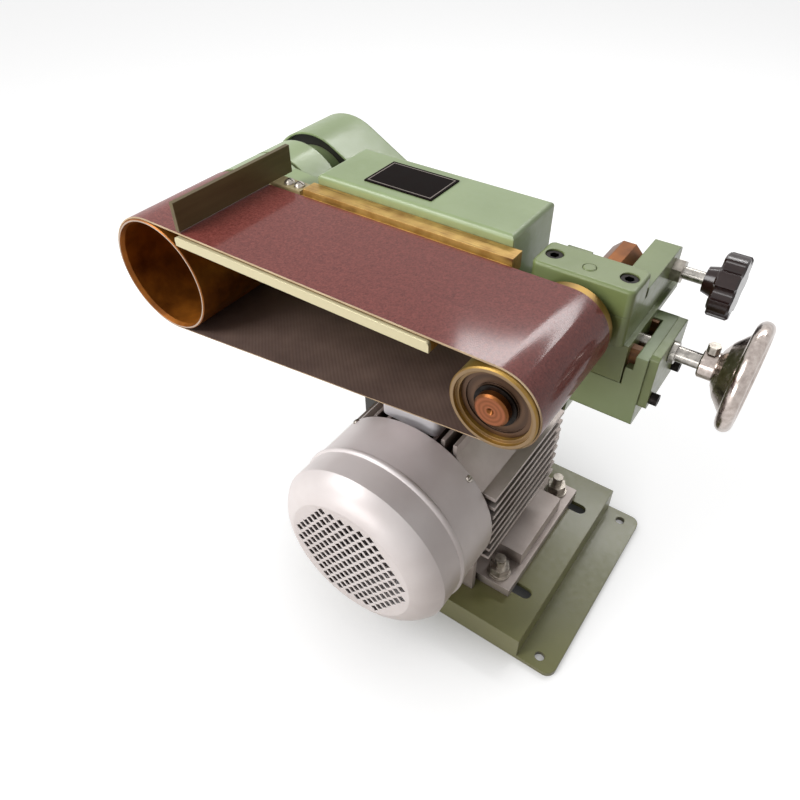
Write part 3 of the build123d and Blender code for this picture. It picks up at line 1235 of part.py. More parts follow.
CAP_COUNTERBORE = 9
CAP_HEAD_R = 6.8
CAP_SCREW_LENGTH = 26
CAP_EDGE_R = 2.5
TALL_EDGE_R = 6
PIN_CHAMFER = 0.8
BAR_FAR_Y = BELT_FAR_Y + BAR_REACH
TRACK_SCREW_Y = BELT_FAR_Y + TRACK_Y
PIVOT_PIN_Y = BELT_FAR_Y + PIVOT_Y


def tension_slide():
    """A planed tongue and a skirt astride the guide bar, with two bars that frame the idler axle. The right
    bar stands on a wider foot and reaches past the arm to hold the tracking screw."""
    spine = SPINDLE_Z + SPINE_TOP + SIDE_PLAY
    way = SPINDLE_Z + WAY_TOP + SIDE_PLAY
    foot = SPINDLE_Z + WAY_TOP + FOOT_RISE
    left_x = IDLER_X - WINDOW_HALF
    right_x = IDLER_X + WINDOW_HALF
    tongue = slab(HEAD_LEFT, FOOT_RIGHT, TONGUE_NEAR_Y, TONGUE_FAR_Y, spine, WINDOW_FLOOR)
    skirt = slab(HEAD_LEFT, FOOT_RIGHT, ARM_NEAR_Y, SKIRT_FAR_Y, spine, WINDOW_FLOOR)
    deck = slab(HEAD_LEFT, FOOT_RIGHT, ARM_NEAR_Y, TONGUE_FAR_Y, way, WINDOW_FLOOR)
    left_foot = slab(HEAD_LEFT, left_x, ARM_NEAR_Y, ARM_FAR_Y, way, foot)
    right_foot = slab(right_x, FOOT_RIGHT, ARM_NEAR_Y, BAR_FAR_Y, way, foot)
    left = slab(HEAD_LEFT, left_x, CAP_NEAR_Y, ARM_FAR_Y, foot - 1, CAP_BOTTOM)
    left = fillet(left.edges().filter_by(Axis.Z).group_by(Axis.Y)[0].sort_by(Axis.X)[0], CAP_CORNER_R)
    right = slab(right_x, HEAD_RIGHT, CAP_NEAR_Y, BAR_FAR_Y, foot - 1, CAP_BOTTOM)
    right = fillet(right.edges().filter_by(Axis.Z).group_by(Axis.Y)[0].sort_by(Axis.X)[-1], CAP_CORNER_R)
    tall = slab(right_x, HEAD_RIGHT, CAP_FAR_Y + SIDE_PLAY, BAR_FAR_Y, way, SPINDLE_Z + BAR_TOP)
    tall = fillet(tall.edges().filter_by(Axis.X).group_by(Axis.Y)[-1].sort_by(Axis.Z)[-1], TALL_EDGE_R)
    slide = tongue + skirt + deck + left_foot + right_foot + left + right + tall
    slide -= rod_x(WAY_MID_Y, TENSION_Z, TENSION_R + RUNNING_FIT, HEAD_LEFT - PAST, FOOT_RIGHT + PAST)
    slide -= rod_x(TRACK_SCREW_Y, TRACK_Z, TRACK_R + RUNNING_FIT, IDLER_X, HEAD_RIGHT + PAST)
    for place in cap_screw_places():
        slide -= place * drilling(CAP_SCREW_R, CAP_SCREW_LENGTH + 1)
    return slide


def cap_block():
    """The block that closes the frame over the axle, with two counterbored screws and the pivot pin."""
    block = slab(HEAD_LEFT, HEAD_RIGHT, CAP_NEAR_Y, CAP_FAR_Y, CAP_BOTTOM, SPINDLE_Z + CAP_TOP)
    block = fillet(block.edges().filter_by(Axis.Z), CAP_CORNER_R)
    block = fillet(block.faces().sort_by(Axis.Z)[-1].edges(), CAP_EDGE_R)
    for place in cap_screw_places():
        block -= place * drilling(CAP_SCREW_R, CAP_TOP)
        counterbore = Cylinder(CAP_HEAD_R, CAP_COUNTERBORE + PAST)
        block -= place * Pos(0, 0, (CAP_COUNTERBORE + PAST) / 2) * counterbore
    top = SPINDLE_Z + CAP_TOP
    return block - rod_z(IDLER_X, PIVOT_PIN_Y, PIVOT_R + SCREW_FIT, CAP_BOTTOM - PAST, top + PAST)


def cap_screws():
    screw = cap_screw(CAP_SCREW_R, CAP_SCREW_LENGTH)
    return group(place * screw for place in cap_screw_places())


def pivot_pin():
    """Pressed into the cap block, its lower end in the axle's cross hole."""
    pin = rod_z(IDLER_X, PIVOT_PIN_Y, PIVOT_R, IDLER_Z - AXLE_FLATS / 2 + 1, SPINDLE_Z + CAP_TOP + 0.4)
    return chamfer(pin.edges().group_by(Axis.Z)[-1], PIN_CHAMFER)


AXLE_NEAR_Y = BELT_NEAR_Y - AXLE_NEAR_OVER
AXLE_FAR_Y = BELT_FAR_Y + AXLE_REACH
ROLLER_NEAR_Y = BELT_NEAR_Y - ROLLER_NEAR_OVER
ROLLER_FAR_Y = BELT_FAR_Y + ROLLER_FAR_OVER
ROLLER_BORE_R = IDLER_R - ROLLER_WALL
BEARING_INSET = 6
AXLE_CHAMFER = 1.5


def idler_axle():
    """A steel axle: round through the roller, eight-sided through the frame, with centre holes."""
    round_part = turned_y(IDLER_X, IDLER_Z, [
        (AXLE_NEAR_Y, 0), (AXLE_NEAR_Y, AXLE_R - AXLE_CHAMFER), (AXLE_NEAR_Y + AXLE_CHAMFER, AXLE_R),
        (CAP_NEAR_Y - 1, AXLE_R), (CAP_NEAR_Y - 1, 0)])
    octagon = Rot(0, 0, 22.5) * RegularPolygon(AXLE_FLATS / 2, 8, major_radius=False)
    flats = extrude(octagon, amount=AXLE_FAR_Y - CAP_NEAR_Y + 1)
    flats = Pos(IDLER_X, CAP_NEAR_Y - 1, IDLER_Z) * HEAD_FAR * flats
    flats = chamfer(flats.faces().sort_by(Axis.Y)[-1].edges(), 2)
    axle = round_part + flats
    for y, end in ((AXLE_NEAR_Y, 1), (AXLE_FAR_Y, -1)):
        cone = turned_y(IDLER_X, IDLER_Z, [(y - end, 0), (y - end, 3.5), (y + end * 3, 0)])
        axle -= cone
    axle -= rod_z(IDLER_X, PIVOT_PIN_Y, PIVOT_R + RUNNING_FIT, IDLER_Z - AXLE_FLATS, IDLER_Z + AXLE_FLATS)
    for y in snap_ring_places():
        axle -= ring_y(IDLER_X, IDLER_Z, AXLE_R + PAST, SNAP_GROOVE_R, y, y + SNAP_WIDTH)
    return axle


SNAP_WIDTH = 1.6
SNAP_GROOVE_R = 11.3
SNAP_R = 15.5


def snap_ring_places():
    return ROLLER_NEAR_Y + BEARING_INSET - SNAP_WIDTH - SIDE_PLAY, ROLLER_FAR_Y - BEARING_INSET + SIDE_PLAY


def snap_rings():
    """Open spring rings that keep the roller's bearings on the axle."""
    rings = []
    for y in snap_ring_places():
        ring = ring_y(IDLER_X, IDLER_Z, SNAP_R, SNAP_GROOVE_R + SCREW_FIT,
                      y + SCREW_FIT, y + SNAP_WIDTH - SCREW_FIT)
        gap = slab(IDLER_X - 3, IDLER_X + 3, y, y + SNAP_WIDTH, IDLER_Z - AXLE_R - 6, IDLER_Z)
        rings.append(ring - gap)
    return group(rings)


def idler_roller():
    """A turned sleeve with a stepped mouth at each end for its bearings."""
    outer = IDLER_R
    relief = ROLLER_BORE_R + 2.5
    middle = 22
    near = ROLLER_NEAR_Y
    far = ROLLER_FAR_Y
    seat_near = near + BEARING_INSET + BEARING_WIDTH
    seat_far = far - BEARING_INSET - BEARING_WIDTH
    return turned_y(IDLER_X, IDLER_Z, [
        (near, relief), (near, outer - 1), (near + 1, outer), (far - 1, outer), (far, outer - 1),
        (far, relief), (far - 3, relief), (far - 3, ROLLER_BORE_R), (seat_far, ROLLER_BORE_R),
        (seat_far, middle),
        (seat_near, middle), (seat_near, ROLLER_BORE_R), (near + 3, ROLLER_BORE_R), (near + 3, relief)])


def idler_bearings():
    bore = AXLE_R + RUNNING_FIT
    outer = ROLLER_BORE_R - RUNNING_FIT
    near = ROLLER_NEAR_Y + BEARING_INSET
    far = ROLLER_FAR_Y - BEARING_INSET - BEARING_WIDTH
    return group(bearing(IDLER_X, IDLER_Z, outer, bore, y, y + BEARING_WIDTH) for y in (near, far))


# Tracking screw, tension screw and their hand controls

TRACK_TIP_X = IDLER_X + AXLE_FLATS / 2 + SIDE_PLAY
KNOB_X = HEAD_RIGHT + LOCK_NUT_HEIGHT + KNOB_STANDOFF


def tracking_screw():
    """The screw that steers the axle, with a turned-down tip."""
    return turned_x(TRACK_SCREW_Y, TRACK_Z, [
        (TRACK_TIP_X, 0), (TRACK_TIP_X, TRACK_R - 1.5), (TRACK_TIP_X + 4, TRACK_R - 1.5),
        (TRACK_TIP_X + 5, TRACK_R), (KNOB_X + KNOB_SOCKET - 1, TRACK_R), (KNOB_X + KNOB_SOCKET - 1, 0)])


def lock_nut():
    nut = Pos(HEAD_RIGHT, TRACK_SCREW_Y, TRACK_Z) * HEAD_RIGHT_WAY * hex_bar(LOCK_NUT_WIDTH, LOCK_NUT_HEIGHT)
    return nut - rod_x(TRACK_SCREW_Y, TRACK_Z, TRACK_R + RUNNING_FIT, HEAD_RIGHT - PAST, KNOB_X)


KNOB_SOCKET = 20
LOBE_GAP_R = 6


def star_knob():
    """A moulded star knob: a fluted disc on a round hub."""
    star = Circle(KNOB_R)
    for k in range(KNOB_LOBES):
        star -= Rot(0, 0, 360 * k / KNOB_LOBES) * Pos(KNOB_R + LOBE_GAP_R * 0.25, 0) * Circle(LOBE_GAP_R)
    disc = extrude(star, amount=KNOB_THICK)
    disc = chamfer(disc.faces().sort_by(Axis.Z)[-1].edges() + disc.faces().sort_by(Axis.Z)[0].edges(), 1.5)
    hub = Pos(0, 0, -KNOB_HUB_LENGTH / 2 + 1) * Cone(KNOB_HUB_R - 2, KNOB_HUB_R + 1, KNOB_HUB_LENGTH + 2)
    knob = Pos(KNOB_X + KNOB_HUB_LENGTH, TRACK_SCREW_Y, TRACK_Z) * HEAD_RIGHT_WAY * (disc + hub)
    return knob - rod_x(TRACK_SCREW_Y, TRACK_Z, TRACK_R + RUNNING_FIT, KNOB_X - PAST, KNOB_X + KNOB_SOCKET)


WHEEL_X = PLATE_OUT_X + WHEEL_STANDOFF


def tension_screw():
    """The screw that moves the slide, with a collar turned on it outside the end plate."""
    collar = PLATE_OUT_X + SIDE_PLAY
    return turned_x(WAY_MID_Y, TENSION_Z, [
        (HEAD_LEFT, 0), (HEAD_LEFT, TENSION_R - 1), (HEAD_LEFT + 1, TENSION_R), (collar, TENSION_R),
        (collar, COLLAR_R), (collar + COLLAR_WIDTH, COLLAR_R), (collar + COLLAR_WIDTH, TENSION_R),
        (WHEEL_X + WHEEL_NECK + 14, TENSION_R), (WHEEL_X + WHEEL_NECK + 14, 0)])


def handwheel():
    """A deep-dished solid handwheel: plain hub, spun web and a round rim."""
    x0 = WHEEL_X
    rim_x = x0 + WHEEL_DISH
    neck_x = x0 + WHEEL_NECK
    bore = TENSION_R + SCREW_FIT
    rim_in = WHEEL_R - 2 * WHEEL_RIM_R + 2
    web = 4
    wheel = turned_x(WAY_MID_Y, TENSION_Z, [
        (x0, bore), (x0, WHEEL_HUB_R - 1), (x0 + 1, WHEEL_HUB_R), (neck_x, WHEEL_HUB_R),
        (neck_x + 1, WHEEL_HUB_R + 3), (neck_x + 5, rim_in * 0.66), (rim_x - 5, rim_in),
        (rim_x - 1, rim_in), (neck_x + 5 + web, rim_in * 0.6), (neck_x + 7, WHEEL_HUB_R),
        (neck_x + 12, WHEEL_HUB_R - 1), (neck_x + 12, bore)])
    wheel += Pos(rim_x, WAY_MID_Y, TENSION_Z) * Rot(0, 90, 0) * Torus(WHEEL_R - WHEEL_RIM_R, WHEEL_RIM_R)
    return wheel - wheel_set_place() * drilling(SET_SCREW_R, WHEEL_HUB_R - TENSION_R + PAST)


SET_SCREW_R = 2.5
SET_HEAD_WIDTH = 8
SET_HEAD_HEIGHT = 6


def wheel_set_place():
    return Pos(WHEEL_X + WHEEL_NECK / 2, WAY_MID_Y, TENSION_Z + WHEEL_HUB_R) * HEAD_UP


def wheel_set_screw():
    depth = WHEEL_HUB_R - TENSION_R - SCREW_FIT
    screw = Pos(0, 0, (1 - depth) / 2) * Cylinder(SET_SCREW_R, depth + 1)
    return wheel_set_place() * (screw + Pos(0, 0, 0.5) * hex_bar(SET_HEAD_WIDTH, SET_HEAD_HEIGHT))


PIECES = [
    base_plate, pedestal, pedestal_bolts, pedestal_clamp_screw,
    motor_housing, motor_end_shield, motor_rear_shield, motor_bearings, stator, fan_cover, motor_foot_bolts,
    terminal_box, terminal_box_lid, cable_gland, motor_lead, lead_grommet,
    rotor, cooling_fan, motor_pulley, v_belt, guard_cover, guard_back_plate, guard_screws,
    spindle_housing, spindle_bearings, spindle, drive_drum, drum_nut, spindle_pulley,
    arm_casting, arm_clamp_screw, platen, platen_screws, work_rest, work_rest_screws, nameplate,
    switch_plate, switch_screws, start_button, stop_button, guide_bar, gib_strip, gib_screws,
    end_plate, end_plate_screws, abrasive_belt,
    tension_slide, cap_block, cap_screws, pivot_pin, lock_nut, tracking_screw, star_knob,
    idler_axle, snap_rings, idler_roller, idler_bearings, tension_screw, handwheel, wheel_set_screw,
]

os.makedirs("parts", exist_ok=True)
for piece in PIECES:
    export_step(piece(), f"parts/{piece.__name__}.step")
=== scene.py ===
import math

import bmesh
import bpy
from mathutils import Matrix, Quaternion, Vector


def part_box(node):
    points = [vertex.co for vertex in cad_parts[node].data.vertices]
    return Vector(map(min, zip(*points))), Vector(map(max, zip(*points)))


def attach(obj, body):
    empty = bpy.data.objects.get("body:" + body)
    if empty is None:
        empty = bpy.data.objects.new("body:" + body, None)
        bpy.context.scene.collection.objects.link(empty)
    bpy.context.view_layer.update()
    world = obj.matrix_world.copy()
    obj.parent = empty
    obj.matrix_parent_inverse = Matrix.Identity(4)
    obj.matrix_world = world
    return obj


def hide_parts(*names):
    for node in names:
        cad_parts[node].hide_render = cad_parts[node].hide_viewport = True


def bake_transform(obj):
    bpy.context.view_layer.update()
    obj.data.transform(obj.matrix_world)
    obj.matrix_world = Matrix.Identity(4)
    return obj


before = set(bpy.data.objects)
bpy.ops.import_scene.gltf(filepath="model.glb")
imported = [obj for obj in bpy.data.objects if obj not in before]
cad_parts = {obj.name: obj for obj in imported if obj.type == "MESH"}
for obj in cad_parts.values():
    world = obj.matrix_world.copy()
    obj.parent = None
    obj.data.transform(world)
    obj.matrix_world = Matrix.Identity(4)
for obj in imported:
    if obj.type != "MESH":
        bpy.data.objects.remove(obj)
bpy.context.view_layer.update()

# Base plate
# A hat section folded from 5 mm steel sheet, slotted for the motor and drilled for the bench.
# It is sprayed with olive-green gloss enamel, thin on the folds, with dust and painted shade in the corners.
MM = 0.001


def linear(code):
    """An sRGB hex colour as the linear colour that shaders take."""
    shares = [int(code[i:i + 2], 16) / 255 for i in (1, 3, 5)]
    return [s / 12.92 if s <= 0.04045 else ((s + 0.055) / 1.055) ** 2.4 for s in shares] + [1.0]


def add(tree, kind, inputs=None, **settings):
    """Adds a shader node with its settings, its fixed inputs and its links."""
    made = tree.nodes.new("ShaderNode" + kind)
    for name, value in settings.items():
        setattr(made, name, value)
    for name, value in (inputs or {}).items():
        if isinstance(value, bpy.types.NodeSocket):
            tree.links.new(value, made.inputs[name])
        else:
            made.inputs[name].default_value = value
    return made


def start_material(name, **fixed):
    """A new material, its node tree and its surface shader with the inputs that are the same all over."""
    material = bpy.data.materials.new(name)
    material.use_nodes = True
    tree = material.node_tree
    surface = tree.nodes["Principled BSDF"]
    for key, value in fixed.items():
        surface.inputs[key.replace("_", " ")].default_value = value
    return material, tree, surface


def dress(material, *names):
    """Gives a material to carried-over CAD nodes."""
    for name in names:
        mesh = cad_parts[name].data
        mesh.materials.clear()
        mesh.materials.append(material)


NOWHERE = -1.0


def enamel(name, colour, worn, swell, painted_shade_below=NOWHERE):
    """Sprayed gloss enamel: orange peel about 2.5 mm across, a slow drift of shade, brown dust with painted
    shade in the corners, and paint pulled thin and chipped along the edges. The swell is of the filler under
    it.
    Below the given height it is coloured near black, as painted shade."""
    material, tree, surface = start_material(name, IOR=1.5, Coat_Weight=0.2, Coat_Roughness=0.14)
    deep, pale = [linear(code) for code in colour]
    place = add(tree, "TexCoord").outputs["Object"]
    drift = add(tree, "TexNoise", {"Vector": place, "Scale": 1 / (70 * MM), "Detail": 4.0})
    dust = add(tree, "TexNoise", {"Vector": place, "Scale": 1 / (6 * MM), "Detail": 6.0, "Roughness": 0.7})
    peel = add(tree, "TexNoise", {"Vector": place, "Scale": 1 / (2.5 * MM), "Detail": 1.0})
    wave = add(tree, "TexNoise", {"Vector": place, "Scale": 1 / (28 * MM), "Detail": 1.0})
    spread = add(tree, "MapRange", {"Value": drift.outputs["Fac"], "From Min": 0.30, "From Max": 0.72})
    tint = add(tree, "Mix", {"Factor": spread.outputs["Result"], "A": deep, "B": pale}, data_type="RGBA")
    height = add(tree, "SeparateXYZ", {"Vector": place})
    # Painted shade: below the given height the colour goes to near black.
    low = add(tree, "MapRange", {"Value": height.outputs["Z"], "From Min": painted_shade_below + 4 * MM,
                                 "From Max": painted_shade_below})
    shade = add(tree, "Mix", {"Factor": low.outputs["Result"], "A": tint.outputs["Result"],
                              "B": linear("#1e180e")}, data_type="RGBA")
    # Painted shade mixed with dust: ambient occlusion darkens corners toward dark brown, broken up by the
    # dust noise.
    corner = add(tree, "AmbientOcclusion", {"Distance": 10 * MM}, samples=4)
    corner_shade_share = add(tree, "MapRange", {"Value": corner.outputs["AO"], "From Min": 0.80, "From Max": 0.25})
    dust_in_corner_shade = add(tree, "Math", {0: corner_shade_share.outputs["Result"], 1: dust.outputs["Fac"]}, operation="MULTIPLY")
    corner_shaded = add(tree, "Mix", {"Factor": dust_in_corner_shade.outputs["Value"], "A": shade.outputs["Result"],
                               "B": linear("#4b3a20")}, data_type="RGBA")
    rounded = add(tree, "Bevel", {"Radius": 1.4 * MM}, samples=6)
    facing = add(tree, "NewGeometry")
    turn = add(tree, "VectorMath", {0: rounded.outputs["Normal"], 1: facing.outputs["Normal"]},
               operation="DOT_PRODUCT")
    edge = add(tree, "MapRange", {"Value": turn.outputs["Value"], "From Min": 0.97, "From Max": 0.80})
    chip = add(tree, "MapRange", {"Value": dust.outputs["Fac"], "From Min": 0.54, "From Max": 0.68})
    scuff = add(tree, "Math", {0: edge.outputs["Result"], 1: chip.outputs["Result"]}, operation="MULTIPLY")
    scuffed = add(tree, "Math", {0: scuff.outputs["Value"], 1: worn}, operation="MULTIPLY")
    chipped = add(tree, "Mix", {"Factor": scuffed.outputs["Value"], "A": corner_shaded.outputs["Result"],
                                "B": linear("#3a3226")}, data_type="RGBA")
    tree.links.new(chipped.outputs["Result"], surface.inputs["Base Color"])
    gloss = add(tree, "MapRange", {"Value": dust.outputs["Fac"], "From Min": 0.3, "From Max": 0.75,
                                   "To Min": 0.30, "To Max": 0.48})
    tree.links.new(gloss.outputs["Result"], surface.inputs["Roughness"])
    relief = add(tree, "Bump", {"Height": wave.outputs["Fac"], "Strength": swell, "Distance": 1.0 * MM,
                                "Normal": rounded.outputs["Normal"]})
    skin = add(tree, "Bump", {"Height": peel.outputs["Fac"], "Strength": 0.10, "Distance": 0.25 * MM,
                              "Normal": relief.outputs["Normal"]})
    tree.links.new(skin.outputs["Normal"], surface.inputs["Normal"])
    return material


# Painted shade: this enamel is set darker than the arm's, for the base lying low in the machine's shade.
sheet_enamel = enamel("enamel_sprayed_on_sheet_steel", ("#737346", "#838253"), 0.7, 0.05)
dress(sheet_enamel, "base_plate")

# Pedestal
# An iron casting bolted to the base, with a split ring at its top that grips the spindle housing.
# The ring is filled and sprayed green like the arm; the column under it is coloured near black as painted
# shade.
RING_UNDERSIDE = 225 * MM
ARM_GREEN = ("#90a272", "#a2b484")
cast_enamel = enamel("enamel_sprayed_on_filled_iron", ARM_GREEN, 0.8, 0.22)
# Painted shade: the column below the ring is coloured near black.
column_enamel_with_painted_shade = enamel("enamel_green_with_painted_shade_on_iron", ARM_GREEN, 0.8, 0.22, RING_UNDERSIDE)
dress(column_enamel_with_painted_shade, "pedestal")


def plated_steel(name, colour, rough):
    """Plated or ground steel: bright metal with a mottled, slightly hazy skin."""
    material, tree, surface = start_material(name, Metallic=1.0)
    deep, pale = [linear(code) for code in colour]
    place = add(tree, "TexCoord").outputs["Object"]
    mottle = add(tree, "TexNoise", {"Vector": place, "Scale": 1 / (4 * MM), "Detail": 4.0})
    spread = add(tree, "MapRange", {"Value": mottle.outputs["Fac"], "From Min": 0.3, "From Max": 0.7})
    shade = add(tree, "Mix", {"Factor": spread.outputs["Result"], "A": deep, "B": pale}, data_type="RGBA")
    tree.links.new(shade.outputs["Result"], surface.inputs["Base Color"])
    haze = add(tree, "MapRange", {"Value": spread.outputs["Result"], "To Min": rough, "To Max": rough + 0.16})
    tree.links.new(haze.outputs["Result"], surface.inputs["Roughness"])
    rounded = add(tree, "Bevel", {"Radius": 0.5 * MM}, samples=4)
    grain = add(tree, "Bump", {"Height": mottle.outputs["Fac"], "Strength": 0.15, "Distance": 0.1 * MM,
                               "Normal": rounded.outputs["Normal"]})
    tree.links.new(grain.outputs["Normal"], surface.inputs["Normal"])
    return material


zinc_plate = plated_steel("zinc_plated_steel", ("#8f8880", "#bdb6ac"), 0.26)
black_oxide = plated_steel("black_oxide_steel", ("#191716", "#2c2927"), 0.34)
dress(zinc_plate, "pedestal_bolts")
dress(black_oxide, "pedestal_clamp_screw")

# Motor body
# A die-cast aluminium barrel with straight cooling fins, a smooth pad and feet, between two end shields.
# Bead-blasted and grainy: grey where open, with painted shade in brown between the fins.


def cast_alloy(name, colour, fin_shade):
    """Bead-blasted die casting: pits about 1.2 mm across, a cloudy sheen, painted shade in brown where the
    fins crowd it.
    """
    material, tree, surface = start_material(name, Metallic=0.55)
    deep, pale = [linear(code) for code in colour]
    place = add(tree, "TexCoord").outputs["Object"]
    cloud = add(tree, "TexNoise", {"Vector": place, "Scale": 1 / (35 * MM), "Detail": 5.0})
    pits = add(tree, "TexNoise", {"Vector": place, "Scale": 1 / (1.2 * MM), "Detail": 2.0})
    spread = add(tree, "MapRange", {"Value": cloud.outputs["Fac"], "From Min": 0.3, "From Max": 0.7})
    shade = add(tree, "Mix", {"Factor": spread.outputs["Result"], "A": deep, "B": pale}, data_type="RGBA")
    # Painted shade: ambient occlusion darkens the faces between the fins toward the given brown.
    corner = add(tree, "AmbientOcclusion", {"Distance": 14 * MM}, samples=4)
    corner_shade_share = add(tree, "MapRange", {"Value": corner.outputs["AO"], "From Min": 0.75, "From Max": 0.15})
    corner_shaded = add(tree, "Mix", {"Factor": corner_shade_share.outputs["Result"], "A": shade.outputs["Result"],
                               "B": linear(fin_shade)}, data_type="RGBA")
    tree.links.new(corner_shaded.outputs["Result"], surface.inputs["Base Color"])
    haze = add(tree, "MapRange", {"Value": pits.outputs["Fac"], "To Min": 0.40, "To Max": 0.58})
    tree.links.new(haze.outputs["Result"], surface.inputs["Roughness"])
    rounded = add(tree, "Bevel", {"Radius": 0.7 * MM}, samples=4)
    grain = add(tree, "Bump", {"Height": pits.outputs["Fac"], "Strength": 0.3, "Distance": 0.15 * MM,
                               "Normal": rounded.outputs["Normal"]})
    tree.links.new(grain.outputs["Normal"], surface.inputs["Normal"])
    return material


motor_alloy = cast_alloy("bead_blasted_aluminium", ("#a99d97", "#c8bfba"), "#3c2b21")
dress(motor_alloy, "motor_housing", "motor_end_shield", "motor_rear_shield")
dress(zinc_plate, "motor_foot_bolts")

# Motor inside
# A varnished lamination stack, a squirrel-cage rotor on its ground shaft, two shielded bearings
# and a moulded fan. They sit inside the frame and show only through the grille.


def moulding(name, colour, rough, grain_mm):
    """Moulded plastic or rubber with a fine matt grain."""
    material, tree, surface = start_material(name)
    deep, pale = [linear(code) for code in colour]
    place = add(tree, "TexCoord").outputs["Object"]
    grain = add(tree, "TexNoise", {"Vector": place, "Scale": 1 / (grain_mm * MM), "Detail": 3.0})
    shade = add(tree, "Mix", {"Factor": grain.outputs["Fac"], "A": deep, "B": pale}, data_type="RGBA")
    tree.links.new(shade.outputs["Result"], surface.inputs["Base Color"])
    haze = add(tree, "MapRange", {"Value": grain.outputs["Fac"], "To Min": rough - 0.06,
                                  "To Max": rough + 0.06})
    tree.links.new(haze.outputs["Result"], surface.inputs["Roughness"])
    rounded = add(tree, "Bevel", {"Radius": 0.5 * MM}, samples=4)
    bump = add(tree, "Bump", {"Height": grain.outputs["Fac"], "Strength": 0.12, "Distance": 0.1 * MM,
                              "Normal": rounded.outputs["Normal"]})
    tree.links.new(bump.outputs["Normal"], surface.inputs["Normal"])
    return material


ground_steel = plated_steel("ground_steel", ("#8f8b86", "#b7b2ab"), 0.20)
fan_nylon = moulding("moulded_black_nylon", ("#0c0c0c", "#161515"), 0.55, 1.0)
varnished_core = moulding("varnished_laminations", ("#2c2622", "#4a4038"), 0.5, 0.8)
dress(varnished_core, "stator")
dress(ground_steel, "rotor", "motor_bearings")
dress(fan_nylon, "cooling_fan")

# Fan cover
# A cowl spun from thin steel: a band with a swaged bead, a sloping nose and a punched flat face.
# It is sprayed with aluminium paint and screwed to four lugs of the rear shield.


def silver_paint(name, colour, metallic):
    """Aluminium paint: fine flake under a satin surface, a little grime in broad patches."""
    material, tree, surface = start_material(name, Metallic=metallic, Coat_Weight=0.12, Coat_Roughness=0.3)
    deep, pale = [linear(code) for code in colour]
    place = add(tree, "TexCoord").outputs["Object"]
    fin_shade = add(tree, "TexNoise", {"Vector": place, "Scale": 1 / (55 * MM), "Detail": 5.0})
    flake = add(tree, "TexNoise", {"Vector": place, "Scale": 1 / (0.9 * MM), "Detail": 1.0})
    spread = add(tree, "MapRange", {"Value": fin_shade.outputs["Fac"], "From Min": 0.28, "From Max": 0.62})
    shade = add(tree, "Mix", {"Factor": spread.outputs["Result"], "A": deep, "B": pale}, data_type="RGBA")
    tree.links.new(shade.outputs["Result"], surface.inputs["Base Color"])
    haze = add(tree, "MapRange", {"Value": flake.outputs["Fac"], "To Min": 0.36, "To Max": 0.48})
    tree.links.new(haze.outputs["Result"], surface.inputs["Roughness"])
    rounded = add(tree, "Bevel", {"Radius": 0.8 * MM}, samples=4)
    bump = add(tree, "Bump", {"Height": flake.outputs["Fac"], "Strength": 0.06, "Distance": 0.1 * MM,
                              "Normal": rounded.outputs["Normal"]})
    tree.links.new(bump.outputs["Normal"], surface.inputs["Normal"])
    return material


cowl_paint = silver_paint("aluminium_paint_on_pressed_steel", ("#d0c7c5", "#e0d9d8"), 0.2)
dress(cowl_paint, "fan_cover")


def pan_head(name, place, outward, radius):
    """A domed screw head with a cut slot, seated on a face that looks outward."""
    rise = 0.62 * radius
    weld = 0.01 * radius
    slot = 0.16 * radius
    slot_wall = 1.05 * slot
    slot_floor = 0.5 * rise
    mesh = bpy.data.meshes.new(name)
    dome = bmesh.new()
    bmesh.ops.create_uvsphere(dome, u_segments=24, v_segments=12, radius=radius)
    for vert in dome.verts:
        vert.co.z = max(vert.co.z, 0) * rise / radius
    bmesh.ops.remove_doubles(dome, verts=dome.verts, dist=weld)
    for y in (-slot_wall, -slot, slot, slot_wall):
        whole = dome.verts[:] + dome.edges[:] + dome.faces[:]
        bmesh.ops.bisect_plane(dome, geom=whole, plane_co=(0, y, 0), plane_no=(0, 1, 0))
    for vert in dome.verts:
        if abs(vert.co.y) < (slot + slot_wall) / 2:
            vert.co.z = min(vert.co.z, slot_floor)
    dome.to_mesh(mesh)
    dome.free()
    mesh.polygons.foreach_set("use_smooth", [True] * len(mesh.polygons))
    head = bpy.data.objects.new(name, mesh)
    head.rotation_mode = "QUATERNION"
    head.rotation_quaternion = Vector(outward).to_track_quat("Z", "Y")
    head.location = place
    mesh.materials.append(zinc_plate)
    bpy.context.scene.collection.objects.link(head)
    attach(head, "frame")


cover_low, cover_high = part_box("fan_cover")
COVER_BAND_R = 80 * MM
COVER_SCREW_R = 3.2 * MM
COVER_SCREW_Y = cover_high[1] - COVER_SCREW_R
COVER_SCREW_ANGLES = (45, 135, 225, 315)
cover_middle = Vector(((cover_low[0] + cover_high[0]) / 2, 0, (cover_low[2] + cover_high[2]) / 2))
for k, angle in enumerate(COVER_SCREW_ANGLES):
    away = Vector((math.cos(math.radians(angle)), 0, math.sin(math.radians(angle))))
    seat = cover_middle + away * COVER_BAND_R + Vector((0, COVER_SCREW_Y, 0))
    pan_head("cover_screw_%d" % k, seat, away, COVER_SCREW_R)

# Terminal box
# An alloy box cast for the motor's top, painted pale, with a lid held by four screws.
# A moulded nylon gland is screwed into its side.
box_paint = silver_paint("pale_paint_on_alloy", ("#e0dce0", "#eeebee"), 0.05)
gland_nylon = moulding("moulded_grey_nylon", ("#232324", "#333335"), 0.5, 1.0)
dress(box_paint, "terminal_box", "terminal_box_lid")
dress(gland_nylon, "cable_gland")
lid_low, lid_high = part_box("terminal_box_lid")
LID_SCREW_INSET = 8 * MM
LID_SCREW_R = 2.8 * MM
for k, (end, side) in enumerate(((0, 0), (0, 1), (1, 0), (1, 1))):
    x = (lid_low[0] + LID_SCREW_INSET, lid_high[0] - LID_SCREW_INSET)[end]
    y = (lid_low[1] + LID_SCREW_INSET, lid_high[1] - LID_SCREW_INSET)[side]
    pan_head("lid_screw_%d" % k, (x, y, lid_high[2]), (0, 0, 1), LID_SCREW_R)

